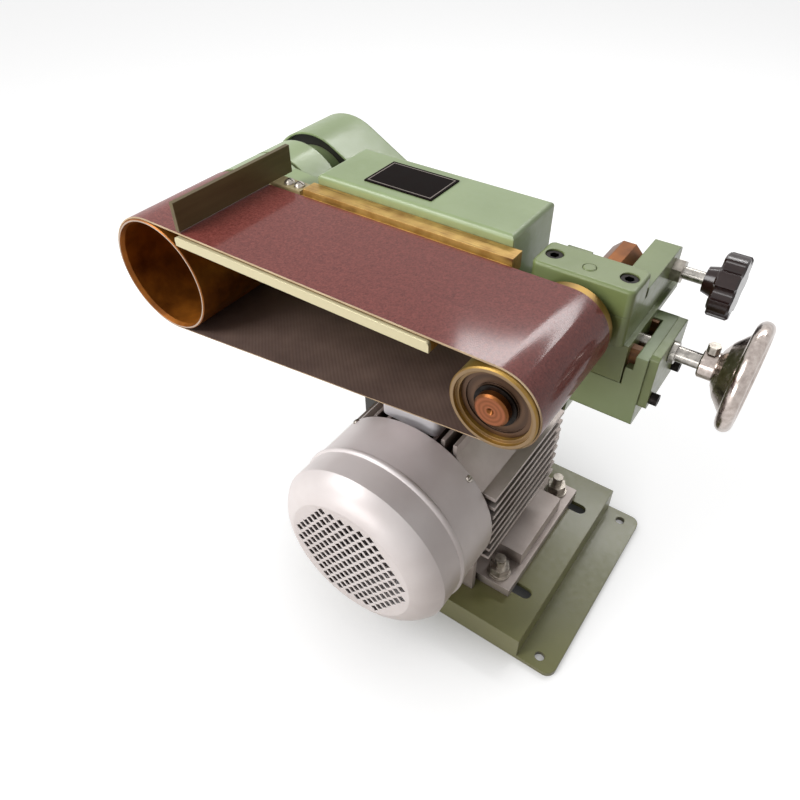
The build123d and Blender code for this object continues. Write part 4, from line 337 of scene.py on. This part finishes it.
# Motor lead
# A round lead, 8 mm thick, in an extruded rubber sheath. It runs from the gland down to a rubber bush
# in the pedestal.
LEAD_R = 4 * MM
LEAD_ROUTE = [(-67, -21, 222), (-83, -21, 222), (-107, -9, 198), (-132.5, -4, 175), (-138.5, 10, 145),
              (-138.5, 44, 145)]
sheath_rubber = moulding("extruded_black_rubber", ("#111111", "#1d1c1c"), 0.62, 0.8)
dress(sheath_rubber, "lead_grommet")
lead_line = bpy.data.curves.new("lead_sheath", "CURVE")
lead_line.dimensions = "3D"
lead_line.bevel_depth = LEAD_R
lead_line.bevel_resolution = 6
lead_run = lead_line.splines.new("NURBS")
lead_run.points.add(len(LEAD_ROUTE) - 1)
for point, place in zip(lead_run.points, LEAD_ROUTE):
    point.co = (place[0] * MM, place[1] * MM, place[2] * MM, 1)
lead_run.order_u = 3
lead_run.use_endpoint_u = True
lead_run.resolution_u = 16
lead_line.materials.append(sheath_rubber)
lead = bpy.data.objects.new("lead_sheath", lead_line)
bpy.context.scene.collection.objects.link(lead)
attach(lead, "frame")
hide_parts("motor_lead")

# Drive
# Two cast pulleys and a wrapped V-belt, run inside a folded sheet guard with a screwed back plate.
# The cover is sprayed green outside; the back plate is coloured near black as painted shade for the guard's
# dark inside.
belt_rubber = moulding("wrapped_rubber_and_fabric", ("#0f0f0f", "#1a1919"), 0.7, 1.2)
# Painted shade: the back plate's near black stands in for the shade inside the guard.
guard_back_shade = moulding("near_black_painted_shade_on_sheet_steel", ("#15130f", "#221f19"), 0.6, 3.0)
guard_enamel = enamel("enamel_sprayed_on_folded_guard", ("#8c9e6f", "#9daf80"), 0.5, 0.08)
dress(ground_steel, "motor_pulley", "spindle_pulley")
dress(belt_rubber, "v_belt")
dress(guard_enamel, "guard_cover")
dress(guard_back_shade, "guard_back_plate")
dress(zinc_plate, "guard_screws")

# Spindle and drum
# The spindle turns in a cast housing on two bearings and carries a turned drum, held by one nut.
# The drum's cup is browned with oil and grit, its turning marks catching amber light.


def wheel_of(node):
    """The middle and radius of a turned node, seen along Y."""
    low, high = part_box(node)
    return (low[0] + high[0]) / 2, (low[2] + high[2]) / 2, (high[2] - low[2]) / 2


def turned_metal(name, node, colour, metallic, rough, ring_mm, rim):
    """Turned metal under a film of old oil: tool marks in rings round the node's axis, stains in soft
    patches. The faces that look along -Y are lightened to the rim colour, with the tool marks through it,
    as a painted highlight."""
    material, tree, surface = start_material(name, Metallic=metallic)
    deep, pale = [linear(code) for code in colour]
    place = add(tree, "TexCoord").outputs["Object"]
    axis_x, axis_z = wheel_of(node)[:2]
    centred = add(tree, "VectorMath", {0: place, 1: (axis_x, 0, axis_z)}, operation="SUBTRACT")
    stain = add(tree, "TexNoise", {"Vector": place, "Scale": 1 / (30 * MM), "Detail": 6.0, "Roughness": 0.6})
    marks = add(tree, "TexWave", {"Vector": centred.outputs["Vector"], "Distortion": 0.4,
                                  "Scale": 1 / (2 * math.pi * ring_mm * MM)},
                wave_type="RINGS", rings_direction="Y")
    spread = add(tree, "MapRange", {"Value": stain.outputs["Fac"], "From Min": 0.3, "From Max": 0.7})
    shade = add(tree, "Mix", {"Factor": spread.outputs["Result"], "A": deep, "B": pale}, data_type="RGBA")
    normal = add(tree, "SeparateXYZ", {"Vector": add(tree, "TexCoord").outputs["Normal"]})
    # Painted highlight: faces that look along -Y take the lighter rim colour.
    facing = add(tree, "MapRange", {"Value": normal.outputs["Y"], "From Min": -0.7, "From Max": -0.9})
    ring = add(tree, "MapRange", {"Value": marks.outputs["Fac"], "To Max": 0.5})
    face = add(tree, "Mix", {"Factor": ring.outputs["Result"], "A": linear(rim), "B": deep}, data_type="RGBA")
    near_face_lit = add(tree, "Mix", {"Factor": facing.outputs["Result"], "A": shade.outputs["Result"],
                               "B": face.outputs["Result"]}, data_type="RGBA")
    tree.links.new(near_face_lit.outputs["Result"], surface.inputs["Base Color"])
    haze = add(tree, "MapRange", {"Value": spread.outputs["Result"], "To Min": rough, "To Max": rough + 0.18})
    tree.links.new(haze.outputs["Result"], surface.inputs["Roughness"])
    rounded = add(tree, "Bevel", {"Radius": 0.6 * MM}, samples=4)
    bump = add(tree, "Bump", {"Height": marks.outputs["Fac"], "Strength": 0.12, "Distance": 0.1 * MM,
                              "Normal": rounded.outputs["Normal"]})
    tree.links.new(bump.outputs["Normal"], surface.inputs["Normal"])
    return material


drum_metal = turned_metal("browned_turned_aluminium", "drive_drum", ("#6a3a10", "#b06a1c"), 0.6, 0.30, 1.2,
                          "#b8a696")
dress(drum_metal, "drive_drum")
dress(cast_enamel, "spindle_housing")
dress(ground_steel, "spindle", "spindle_bearings")
dress(black_oxide, "drum_nut")

# Arm
# One iron casting: a split hub on the spindle housing, a hollow box and a spine with the slide's ways.
# Filled and sprayed green; clamped by one black cap screw.
dress(cast_enamel, "arm_casting")
dress(black_oxide, "arm_clamp_screw")

# Platen
# A ground steel plate behind the sanding run, on the arm's ledge. Its far margin is yellow with wax
# and dust, and scored dark along the belt's edge; its near lip is rubbed bare.
LIP_WIDE = 2.5 * MM
LIP_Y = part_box("platen")[0][1] + LIP_WIDE


def waxed_steel():
    """Ground steel gone yellow: long scores 1.5 mm wide run along the belt, dark where dust has packed."""
    material, tree, surface = start_material("waxed_ground_steel", Metallic=0.45)
    place = add(tree, "TexCoord").outputs["Object"]
    drawn = add(tree, "Mapping", {"Vector": place, "Scale": (1 / (40 * MM), 1 / (1.5 * MM), 1 / (10 * MM))})
    score = add(tree, "TexNoise", {"Vector": drawn.outputs["Vector"], "Scale": 1.0, "Detail": 5.0})
    blotch = add(tree, "TexNoise", {"Vector": place, "Scale": 1 / (14 * MM), "Detail": 5.0})
    spread = add(tree, "MapRange", {"Value": blotch.outputs["Fac"], "From Min": 0.3, "From Max": 0.65})
    shade = add(tree, "Mix", {"Factor": spread.outputs["Result"], "A": linear("#a07636"),
                              "B": linear("#c9a45c")}, data_type="RGBA")
    packed = add(tree, "MapRange", {"Value": score.outputs["Fac"], "From Min": 0.58, "From Max": 0.74})
    scored = add(tree, "Mix", {"Factor": packed.outputs["Result"], "A": shade.outputs["Result"],
                               "B": linear("#5a3312")}, data_type="RGBA")
    across = add(tree, "SeparateXYZ", {"Vector": place})
    lip = add(tree, "MapRange", {"Value": across.outputs["Y"], "From Min": LIP_Y + MM, "From Max": LIP_Y})
    paled = add(tree, "Mix", {"Factor": lip.outputs["Result"], "A": scored.outputs["Result"],
                             "B": linear("#cfc6a2")}, data_type="RGBA")
    tree.links.new(paled.outputs["Result"], surface.inputs["Base Color"])
    haze = add(tree, "MapRange", {"Value": score.outputs["Fac"], "To Min": 0.32, "To Max": 0.55})
    tree.links.new(haze.outputs["Result"], surface.inputs["Roughness"])
    rounded = add(tree, "Bevel", {"Radius": 0.6 * MM}, samples=4)
    bump = add(tree, "Bump", {"Height": score.outputs["Fac"], "Strength": 0.2, "Distance": 0.15 * MM,
                              "Normal": rounded.outputs["Normal"]})
    tree.links.new(bump.outputs["Normal"], surface.inputs["Normal"])
    return material


platen_steel = waxed_steel()
dress(platen_steel, "platen")
dress(black_oxide, "platen_screws")

# Work rest
# A bent steel strip across the belt's start, oiled brown, held by two bright pan-head screws.
# Its foot is painted paler, as a painted highlight where it lies flat.


def oiled_steel(name, colour, streak_mm, foot_top):
    """Bare steel under old oil, with streaks of the given lengths along X, Y and Z. Up to the top of its
    foot it is painted pale, as a painted highlight."""
    material, tree, surface = start_material(name, Metallic=0.3)
    deep, pale = [linear(code) for code in colour]
    place = add(tree, "TexCoord").outputs["Object"]
    drawn = add(tree, "Mapping", {"Vector": place, "Scale": [1 / (length * MM) for length in streak_mm]})
    streak = add(tree, "TexNoise", {"Vector": drawn.outputs["Vector"], "Scale": 1.0, "Detail": 5.0})
    spread = add(tree, "MapRange", {"Value": streak.outputs["Fac"], "From Min": 0.3, "From Max": 0.7})
    shade = add(tree, "Mix", {"Factor": spread.outputs["Result"], "A": deep, "B": pale}, data_type="RGBA")
    height = add(tree, "SeparateXYZ", {"Vector": place})
    foot = add(tree, "MapRange", {"Value": height.outputs["Z"], "From Min": foot_top + 0.2 * MM,
                                  "From Max": foot_top + 0.1 * MM})
    # Painted highlight: up to the top of the foot the colour goes pale.
    paled = add(tree, "Mix", {"Factor": foot.outputs["Result"], "A": shade.outputs["Result"],
                             "B": linear("#b3a57c")}, data_type="RGBA")
    tree.links.new(paled.outputs["Result"], surface.inputs["Base Color"])
    haze = add(tree, "MapRange", {"Value": streak.outputs["Fac"], "To Min": 0.36, "To Max": 0.55})
    tree.links.new(haze.outputs["Result"], surface.inputs["Roughness"])
    rounded = add(tree, "Bevel", {"Radius": 0.6 * MM}, samples=4)
    bump = add(tree, "Bump", {"Height": streak.outputs["Fac"], "Strength": 0.1, "Distance": 0.1 * MM,
                              "Normal": rounded.outputs["Normal"]})
    tree.links.new(bump.outputs["Normal"], surface.inputs["Normal"])
    return material


REST_FOOT_THICK = 3.5 * MM
rest_steel = oiled_steel("oiled_rolled_steel", ("#584a2c", "#685a39"), (7, 70, 7),
                         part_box("work_rest")[0][2] + REST_FOOT_THICK)
dress(rest_steel, "work_rest")
dress(zinc_plate, "work_rest_screws")

# Switch and nameplate
# An orange moulded plate with a green start and a red stop button, and a blank screened plate glued
# to the arm's top.
orange_plastic = moulding("moulded_orange_plastic", ("#e07a2c", "#ee8b3c"), 0.35, 1.0)
green_plastic = moulding("moulded_green_plastic", ("#98a82a", "#aebb3c"), 0.3, 1.0)
red_plastic = moulding("moulded_red_plastic", ("#c22634", "#d43240"), 0.3, 1.0)
dress(orange_plastic, "switch_plate")
dress(zinc_plate, "switch_screws")
dress(green_plastic, "start_button")
dress(red_plastic, "stop_button")


def screened_plate(node):
    """Aluminium sheet screened nearly black, with one bare line near its edge."""
    line_inset = 2.4 * MM
    half_line = 0.4 * MM
    material, tree, surface = start_material("screened_aluminium", Specular_IOR_Level=0.02)
    low, high = [Vector(corner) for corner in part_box(node)]
    middle = (low + high) / 2
    place = add(tree, "TexCoord").outputs["Object"]
    centred = add(tree, "VectorMath", {0: place, 1: middle}, operation="SUBTRACT")
    offset = add(tree, "VectorMath", {0: centred.outputs["Vector"]}, operation="ABSOLUTE")
    inside = add(tree, "VectorMath", {0: (high - low) / 2, 1: offset.outputs["Vector"]}, operation="SUBTRACT")
    parts = add(tree, "SeparateXYZ", {"Vector": inside.outputs["Vector"]})
    rim = add(tree, "Math", {0: parts.outputs["X"], 1: parts.outputs["Y"]}, operation="MINIMUM")
    line = add(tree, "Math", {0: rim.outputs["Value"], 1: line_inset, 2: half_line}, operation="COMPARE")
    rub = add(tree, "TexNoise", {"Vector": place, "Scale": 1 / (9 * MM), "Detail": 5.0})
    ink = add(tree, "Mix", {"Factor": rub.outputs["Fac"], "A": linear("#080403"), "B": linear("#150a08")},
              data_type="RGBA")
    lined = add(tree, "Mix", {"Factor": line.outputs["Value"], "A": ink.outputs["Result"],
                              "B": linear("#a59c94")}, data_type="RGBA")
    tree.links.new(lined.outputs["Result"], surface.inputs["Base Color"])
    haze = add(tree, "MapRange", {"Value": rub.outputs["Fac"], "To Min": 0.30, "To Max": 0.50})
    tree.links.new(haze.outputs["Result"], surface.inputs["Roughness"])
    return material


dress(screened_plate("nameplate"), "nameplate")

# Tension head
# A guide bar with a gib, an end plate, and a slide that carries the idler under a cap block.
# The castings are sprayed green; the sliding faces are scraped bare and brown with grease.
head_enamel = enamel("enamel_oiled_on_filled_iron", ("#7b8a55", "#8e9c67"), 0.9, 0.25)
dress(head_enamel, "end_plate", "tension_slide", "cap_block", "pivot_pin")
way_steel = oiled_steel("greasy_scraped_steel", ("#54331a", "#86582c"), (40, 5, 5), NOWHERE)
dress(way_steel, "gib_strip", "guide_bar")
dress(zinc_plate, "gib_screws", "lock_nut")
dress(black_oxide, "end_plate_screws", "cap_screws")
dress(ground_steel, "tracking_screw", "tension_screw")

# Star knob and handwheel
# A knob pressed from brown phenolic and screwed on the tracking screw, and a wheel turned from steel,
# chrome-plated and held on the tension screw by a set screw.
knob_phenolic = moulding("pressed_brown_phenolic", ("#1f0f0d", "#2e1815"), 0.2, 3.0)
dress(knob_phenolic, "star_knob")
chrome = plated_steel("polished_chrome_plate", ("#a89c95", "#c8bdb6"), 0.14)
dress(chrome, "handwheel")
dress(zinc_plate, "wheel_set_screw")

# Idler
# A steel roller with yellow passivated ends on a copper-brown axle, with two bearings browned by grease
# and two black snap rings.
axle_steel = turned_metal("copper_brown_steel", "idler_axle", ("#5c3519", "#8a5428"), 0.85, 0.28, 1.6,
                          "#93583a")
dress(axle_steel, "idler_axle")
roller_plate = turned_metal("yellow_passivated_steel", "idler_roller", ("#7a5c2c", "#b08c40"), 0.6, 0.30,
                            3.0, "#8c7456")
dress(roller_plate, "idler_roller")
bearing_steel = turned_metal("greased_bearing_steel", "idler_roller", ("#2a1a12", "#46301f"), 0.6, 0.3, 3.0,
                             "#5a4230")
dress(bearing_steel, "idler_bearings")
dress(black_oxide, "snap_rings")

# Sanding belt
# Aluminium oxide grit on a cloth backing, joined into one loop over the drum and the idler.
# Its cut edges show the pale cloth.
BELT_THICK = 1.2 * MM
CLOTH_THICK = 0.84 * MM
BELT_RIDE = 0.3 * MM
EDGE_FRAY = 0.5 * MM
ARC_STEPS = 56
RUN_STEPS = 24
LONGEST_ARC_STEP = 100 * MM


def grit():
    """Closed coat of grit: grains near 0.4 mm, drawn 1.1 mm across so that they show. Dust clogs it in
    streaks about 5 mm wide along the belt."""
    material, tree, surface = start_material("aluminium_oxide_grit_on_cloth", Specular_IOR_Level=0.15,
                                             Coat_Weight=0.45, Coat_Roughness=0.10)
    place = add(tree, "TexCoord")
    grains = add(tree, "TexVoronoi", {"Vector": place.outputs["Object"], "Scale": 1 / (1.1 * MM)})
    clumps = add(tree, "TexNoise", {"Vector": place.outputs["Object"], "Scale": 1 / (2.6 * MM), "Detail": 4.0,
                                    "Roughness": 0.7})
    drawn = add(tree, "Mapping", {"Vector": place.outputs["UV"],
                                  "Scale": (1 / (140 * MM), 1 / (5 * MM), 1.0)})
    streak = add(tree, "TexNoise", {"Vector": drawn.outputs["Vector"], "Scale": 1.0, "Detail": 3.0})
    clogged = add(tree, "Mix", {"Factor": 0.2, "A": clumps.outputs["Fac"], "B": streak.outputs["Fac"]})
    mixed = add(tree, "Mix", {"Factor": 0.3, "A": clogged.outputs["Result"], "B": grains.outputs["Color"]})
    spread = add(tree, "MapRange", {"Value": mixed.outputs["Result"], "From Min": 0.32, "From Max": 0.68})
    shade = add(tree, "Mix", {"Factor": spread.outputs["Result"], "A": linear("#622722"),
                              "B": linear("#8d4942")}, data_type="RGBA")
    tree.links.new(shade.outputs["Result"], surface.inputs["Base Color"])
    haze = add(tree, "MapRange", {"Value": mixed.outputs["Result"], "To Min": 0.42, "To Max": 0.60})
    tree.links.new(haze.outputs["Result"], surface.inputs["Roughness"])
    bump = add(tree, "Bump", {"Height": grains.outputs["Distance"], "Strength": 0.3, "Distance": 0.4 * MM})
    tree.links.new(bump.outputs["Normal"], surface.inputs["Normal"])
    return material


def cloth(name, colour):
    """Twill backing: threads 0.5 mm apart, drawn 1 mm apart so that they show, dusted and stained."""
    material, tree, surface = start_material(name, Roughness=0.85)
    deep, pale = [linear(code) for code in colour]
    place = add(tree, "TexCoord")
    along = add(tree, "TexWave", {"Vector": place.outputs["UV"], "Scale": 1 / (2 * math.pi * 1.0 * MM)},
                bands_direction="DIAGONAL")
    stain = add(tree, "TexNoise", {"Vector": place.outputs["Object"], "Scale": 1 / (25 * MM), "Detail": 5.0})
    spread = add(tree, "MapRange", {"Value": stain.outputs["Fac"], "From Min": 0.3, "From Max": 0.7})
    shade = add(tree, "Mix", {"Factor": spread.outputs["Result"], "A": deep, "B": pale}, data_type="RGBA")
    tree.links.new(shade.outputs["Result"], surface.inputs["Base Color"])
    bump = add(tree, "Bump", {"Height": along.outputs["Fac"], "Strength": 0.3, "Distance": 0.2 * MM})
    tree.links.new(bump.outputs["Normal"], surface.inputs["Normal"])
    return material


def loop_path():
    """Points on the belt's inside, each with its outward direction, once round the loop."""
    drum_x, drum_z, drum_r = wheel_of("drive_drum")
    idler_x, idler_z, idler_r = wheel_of("idler_roller")
    reach = math.hypot(idler_x - drum_x, idler_z - drum_z)
    tilt = math.atan2(idler_z - drum_z, idler_x - drum_x)
    lean = math.acos((drum_r - idler_r) / reach)
    turns = []
    for k in range(ARC_STEPS + 1):
        turns.append((drum_x, drum_z, drum_r, tilt + lean + (2 * math.pi - 2 * lean) * k / ARC_STEPS))
    for k in range(ARC_STEPS + 1):
        turns.append((idler_x, idler_z, idler_r, tilt - lean + 2 * lean * k / ARC_STEPS))
    stops = []
    for x, z, radius, turn in turns:
        out = Vector((math.cos(turn), 0, math.sin(turn)))
        stops.append((Vector((x, 0, z)) + out * (radius + BELT_RIDE), out))
    path = []
    for (place, out), (after, after_out) in zip(stops, stops[1:] + stops[:1]):
        steps = RUN_STEPS if (after - place).length > LONGEST_ARC_STEP else 1
        for k in range(steps):
            path.append((place.lerp(after, k / steps), out.lerp(after_out, k / steps).normalized()))
    return path


belt_low, belt_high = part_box("abrasive_belt")
near, far = belt_low[1], belt_high[1]
section = [(near, 0), (near, CLOTH_THICK), (near + EDGE_FRAY, BELT_THICK), (far - EDGE_FRAY, BELT_THICK),
           (far, CLOTH_THICK), (far, 0)]
GRIT_SIDE = 2
BACK_SIDE = 5
GRIT_SLOT, BACK_SLOT, EDGE_SLOT = 0, 1, 2
belt_mesh = bpy.data.meshes.new("sanding_belt")
loop = bmesh.new()
unrolled = loop.loops.layers.uv.new("unrolled")
path = loop_path()
travel = [0.0]
for (place, out), (after, after_out) in zip(path, path[1:] + path[:1]):
    travel.append(travel[-1] + (after - place).length)
rings = []
for place, out in path:
    rings.append([loop.verts.new(place + out * lift + Vector((0, y, 0))) for y, lift in section])
for k, ring in enumerate(rings):
    following = rings[(k + 1) % len(rings)]
    for j in range(len(section)):
        i = (j + 1) % len(section)
        face = loop.faces.new((ring[j], ring[i], following[i], following[j]))
        face.smooth = True
        face.material_index = {GRIT_SIDE: GRIT_SLOT, BACK_SIDE: BACK_SLOT}.get(j, EDGE_SLOT)
        spots = ((travel[k], j), (travel[k], i), (travel[k + 1], i), (travel[k + 1], j))
        for corner, (run, column) in zip(face.loops, spots):
            corner[unrolled].uv = (run, section[column][0])
        loop.edges.get((ring[j], following[j])).smooth = False
bmesh.ops.recalc_face_normals(loop, faces=loop.faces)
loop.to_mesh(belt_mesh)
loop.free()
belt_mesh.materials.append(grit())
# Painted shade: the backing's brown is set dark, partly the cloth's own colour and partly shade for the
# belt's inside.
belt_mesh.materials.append(cloth("twill_cloth_backing", ("#503d36", "#624e45")))
belt_mesh.materials.append(cloth("cut_cloth_edge", ("#b39a7c", "#d2bb9c")))
belt = bpy.data.objects.new("sanding_belt", belt_mesh)
bpy.context.scene.collection.objects.link(belt)
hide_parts("abrasive_belt")
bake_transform(belt)

# Floor, light and camera
# A plain white studio floor with a painted shadow where the machine crowds it, a large soft lamp before
# the drum's open end, a low fill in front, and a long strip behind the machine that rakes across the belt.
FLOOR_REACH = 6.0
floor_corners = [(x * FLOOR_REACH, y * FLOOR_REACH, 0) for x, y in ((-1, -1), (1, -1), (1, 1), (-1, 1))]
floor_mesh = bpy.data.meshes.new("floor")
floor_mesh.from_pydata(floor_corners, [], [(0, 1, 2, 3)])
floor = bpy.data.objects.new("floor", floor_mesh)
bpy.context.scene.collection.objects.link(floor)


def seen_rays(tree):
    """1 for rays that show a surface straight, mirrored or through glass, 0 for rays that only light."""
    rays = add(tree, "LightPath")
    mirrored = add(tree, "Math", {0: rays.outputs["Is Glossy Ray"], 1: rays.outputs["Is Transmission Ray"]},
                   operation="MAXIMUM")
    return add(tree, "Math", {0: rays.outputs["Is Camera Ray"], 1: mirrored.outputs["Value"]},
               operation="MAXIMUM").outputs["Value"]


paper, paper_tree, paper_surface = start_material("white_paper_floor", Roughness=0.9,
                                                  Emission_Color=linear("#ffffff"))
paper_seen = seen_rays(paper_tree)
paper_tone = add(paper_tree, "Mix", {"Factor": paper_seen, "A": linear("#8c6f4c"), "B": linear("#bcbcbc")},
                 data_type="RGBA")
paper_tree.links.new(paper_tone.outputs["Result"], paper_surface.inputs["Base Color"])
SHADOW_REACH = 150 * MM
FLOOR_GLOW = 0.76
# Painted shadow: ambient occlusion dims the floor's glow near and under the machine.
painted_floor_shadow = add(paper_tree, "AmbientOcclusion", {"Distance": SHADOW_REACH})
paper_lift = add(paper_tree, "Math", {0: paper_seen, 1: painted_floor_shadow.outputs["AO"]}, operation="MULTIPLY")
paper_glow = add(paper_tree, "MapRange", {"Value": paper_lift.outputs["Value"], "To Max": FLOOR_GLOW})
paper_tree.links.new(paper_glow.outputs["Result"], paper_surface.inputs["Emission Strength"])
floor_mesh.materials.append(paper)

ROOM_LIGHT = 0.15
WHITE_LEVEL = 1.0
world = bpy.data.worlds.new("studio")
bpy.context.scene.world = world
world.use_nodes = True
sky = world.node_tree
soft = sky.nodes["Background"]
level = add(sky, "MapRange", {"Value": seen_rays(sky), "To Min": ROOM_LIGHT, "To Max": WHITE_LEVEL})
soft.inputs["Color"].default_value = linear("#ffffff")
sky.links.new(level.outputs["Result"], soft.inputs["Strength"])


def lamp(name, place, target, width, height, lean, power):
    """A rectangular lamp that faces the target, leant about its own axis. Sizes are in metres, the lean in
    degrees, the power in watts."""
    data = bpy.data.lights.new(name, "AREA")
    data.shape = "RECTANGLE"
    data.size = width
    data.size_y = height
    data.energy = power
    made = bpy.data.objects.new(name, data)
    made.location = place
    aim = (Vector(target) - Vector(place)).to_track_quat("-Z", "Y")
    made.rotation_euler = (aim @ Quaternion((0, 0, 1), math.radians(lean))).to_euler()
    bpy.context.scene.collection.objects.link(made)


lamp("key", place=(-0.80, -0.90, 1.25), target=(-0.05, 0, 0.25), width=0.8, height=0.8, lean=0, power=17)
lamp("front", place=(-0.35, -1.50, 0.45), target=(-0.05, 0, 0.20), width=0.9, height=0.5, lean=0, power=8)
lamp("back", place=(0.05, 1.24, 1.44), target=(0.095, -0.07, 0.336), width=1.5, height=0.14, lean=8, power=11)

CAMERA_PLACE = Vector((217.7, -408.4, 604.1)) * MM
CAMERA_YAW = math.radians(-36.2)
CAMERA_PITCH = math.radians(-42.8)
CAMERA_ROLL = math.radians(1.1)
FOCAL_PIXELS = 691.7
FRAME_PIXELS = 800
SENSOR_WIDTH = 36
camera_data = bpy.data.cameras.new("camera")
camera = bpy.data.objects.new("camera", camera_data)
bpy.context.scene.collection.objects.link(camera)
bpy.context.scene.camera = camera
look = Vector((math.sin(CAMERA_YAW) * math.cos(CAMERA_PITCH), math.cos(CAMERA_YAW) * math.cos(CAMERA_PITCH),
               math.sin(CAMERA_PITCH)))
camera.location = CAMERA_PLACE
camera.rotation_mode = "QUATERNION"
camera.rotation_quaternion = Quaternion(look, CAMERA_ROLL) @ look.to_track_quat("-Z", "Y")
camera_data.sensor_width = SENSOR_WIDTH
camera_data.lens = FOCAL_PIXELS / FRAME_PIXELS * SENSOR_WIDTH
camera_data.clip_start = 10 * MM
bpy.context.scene.view_settings.view_transform = "Standard"
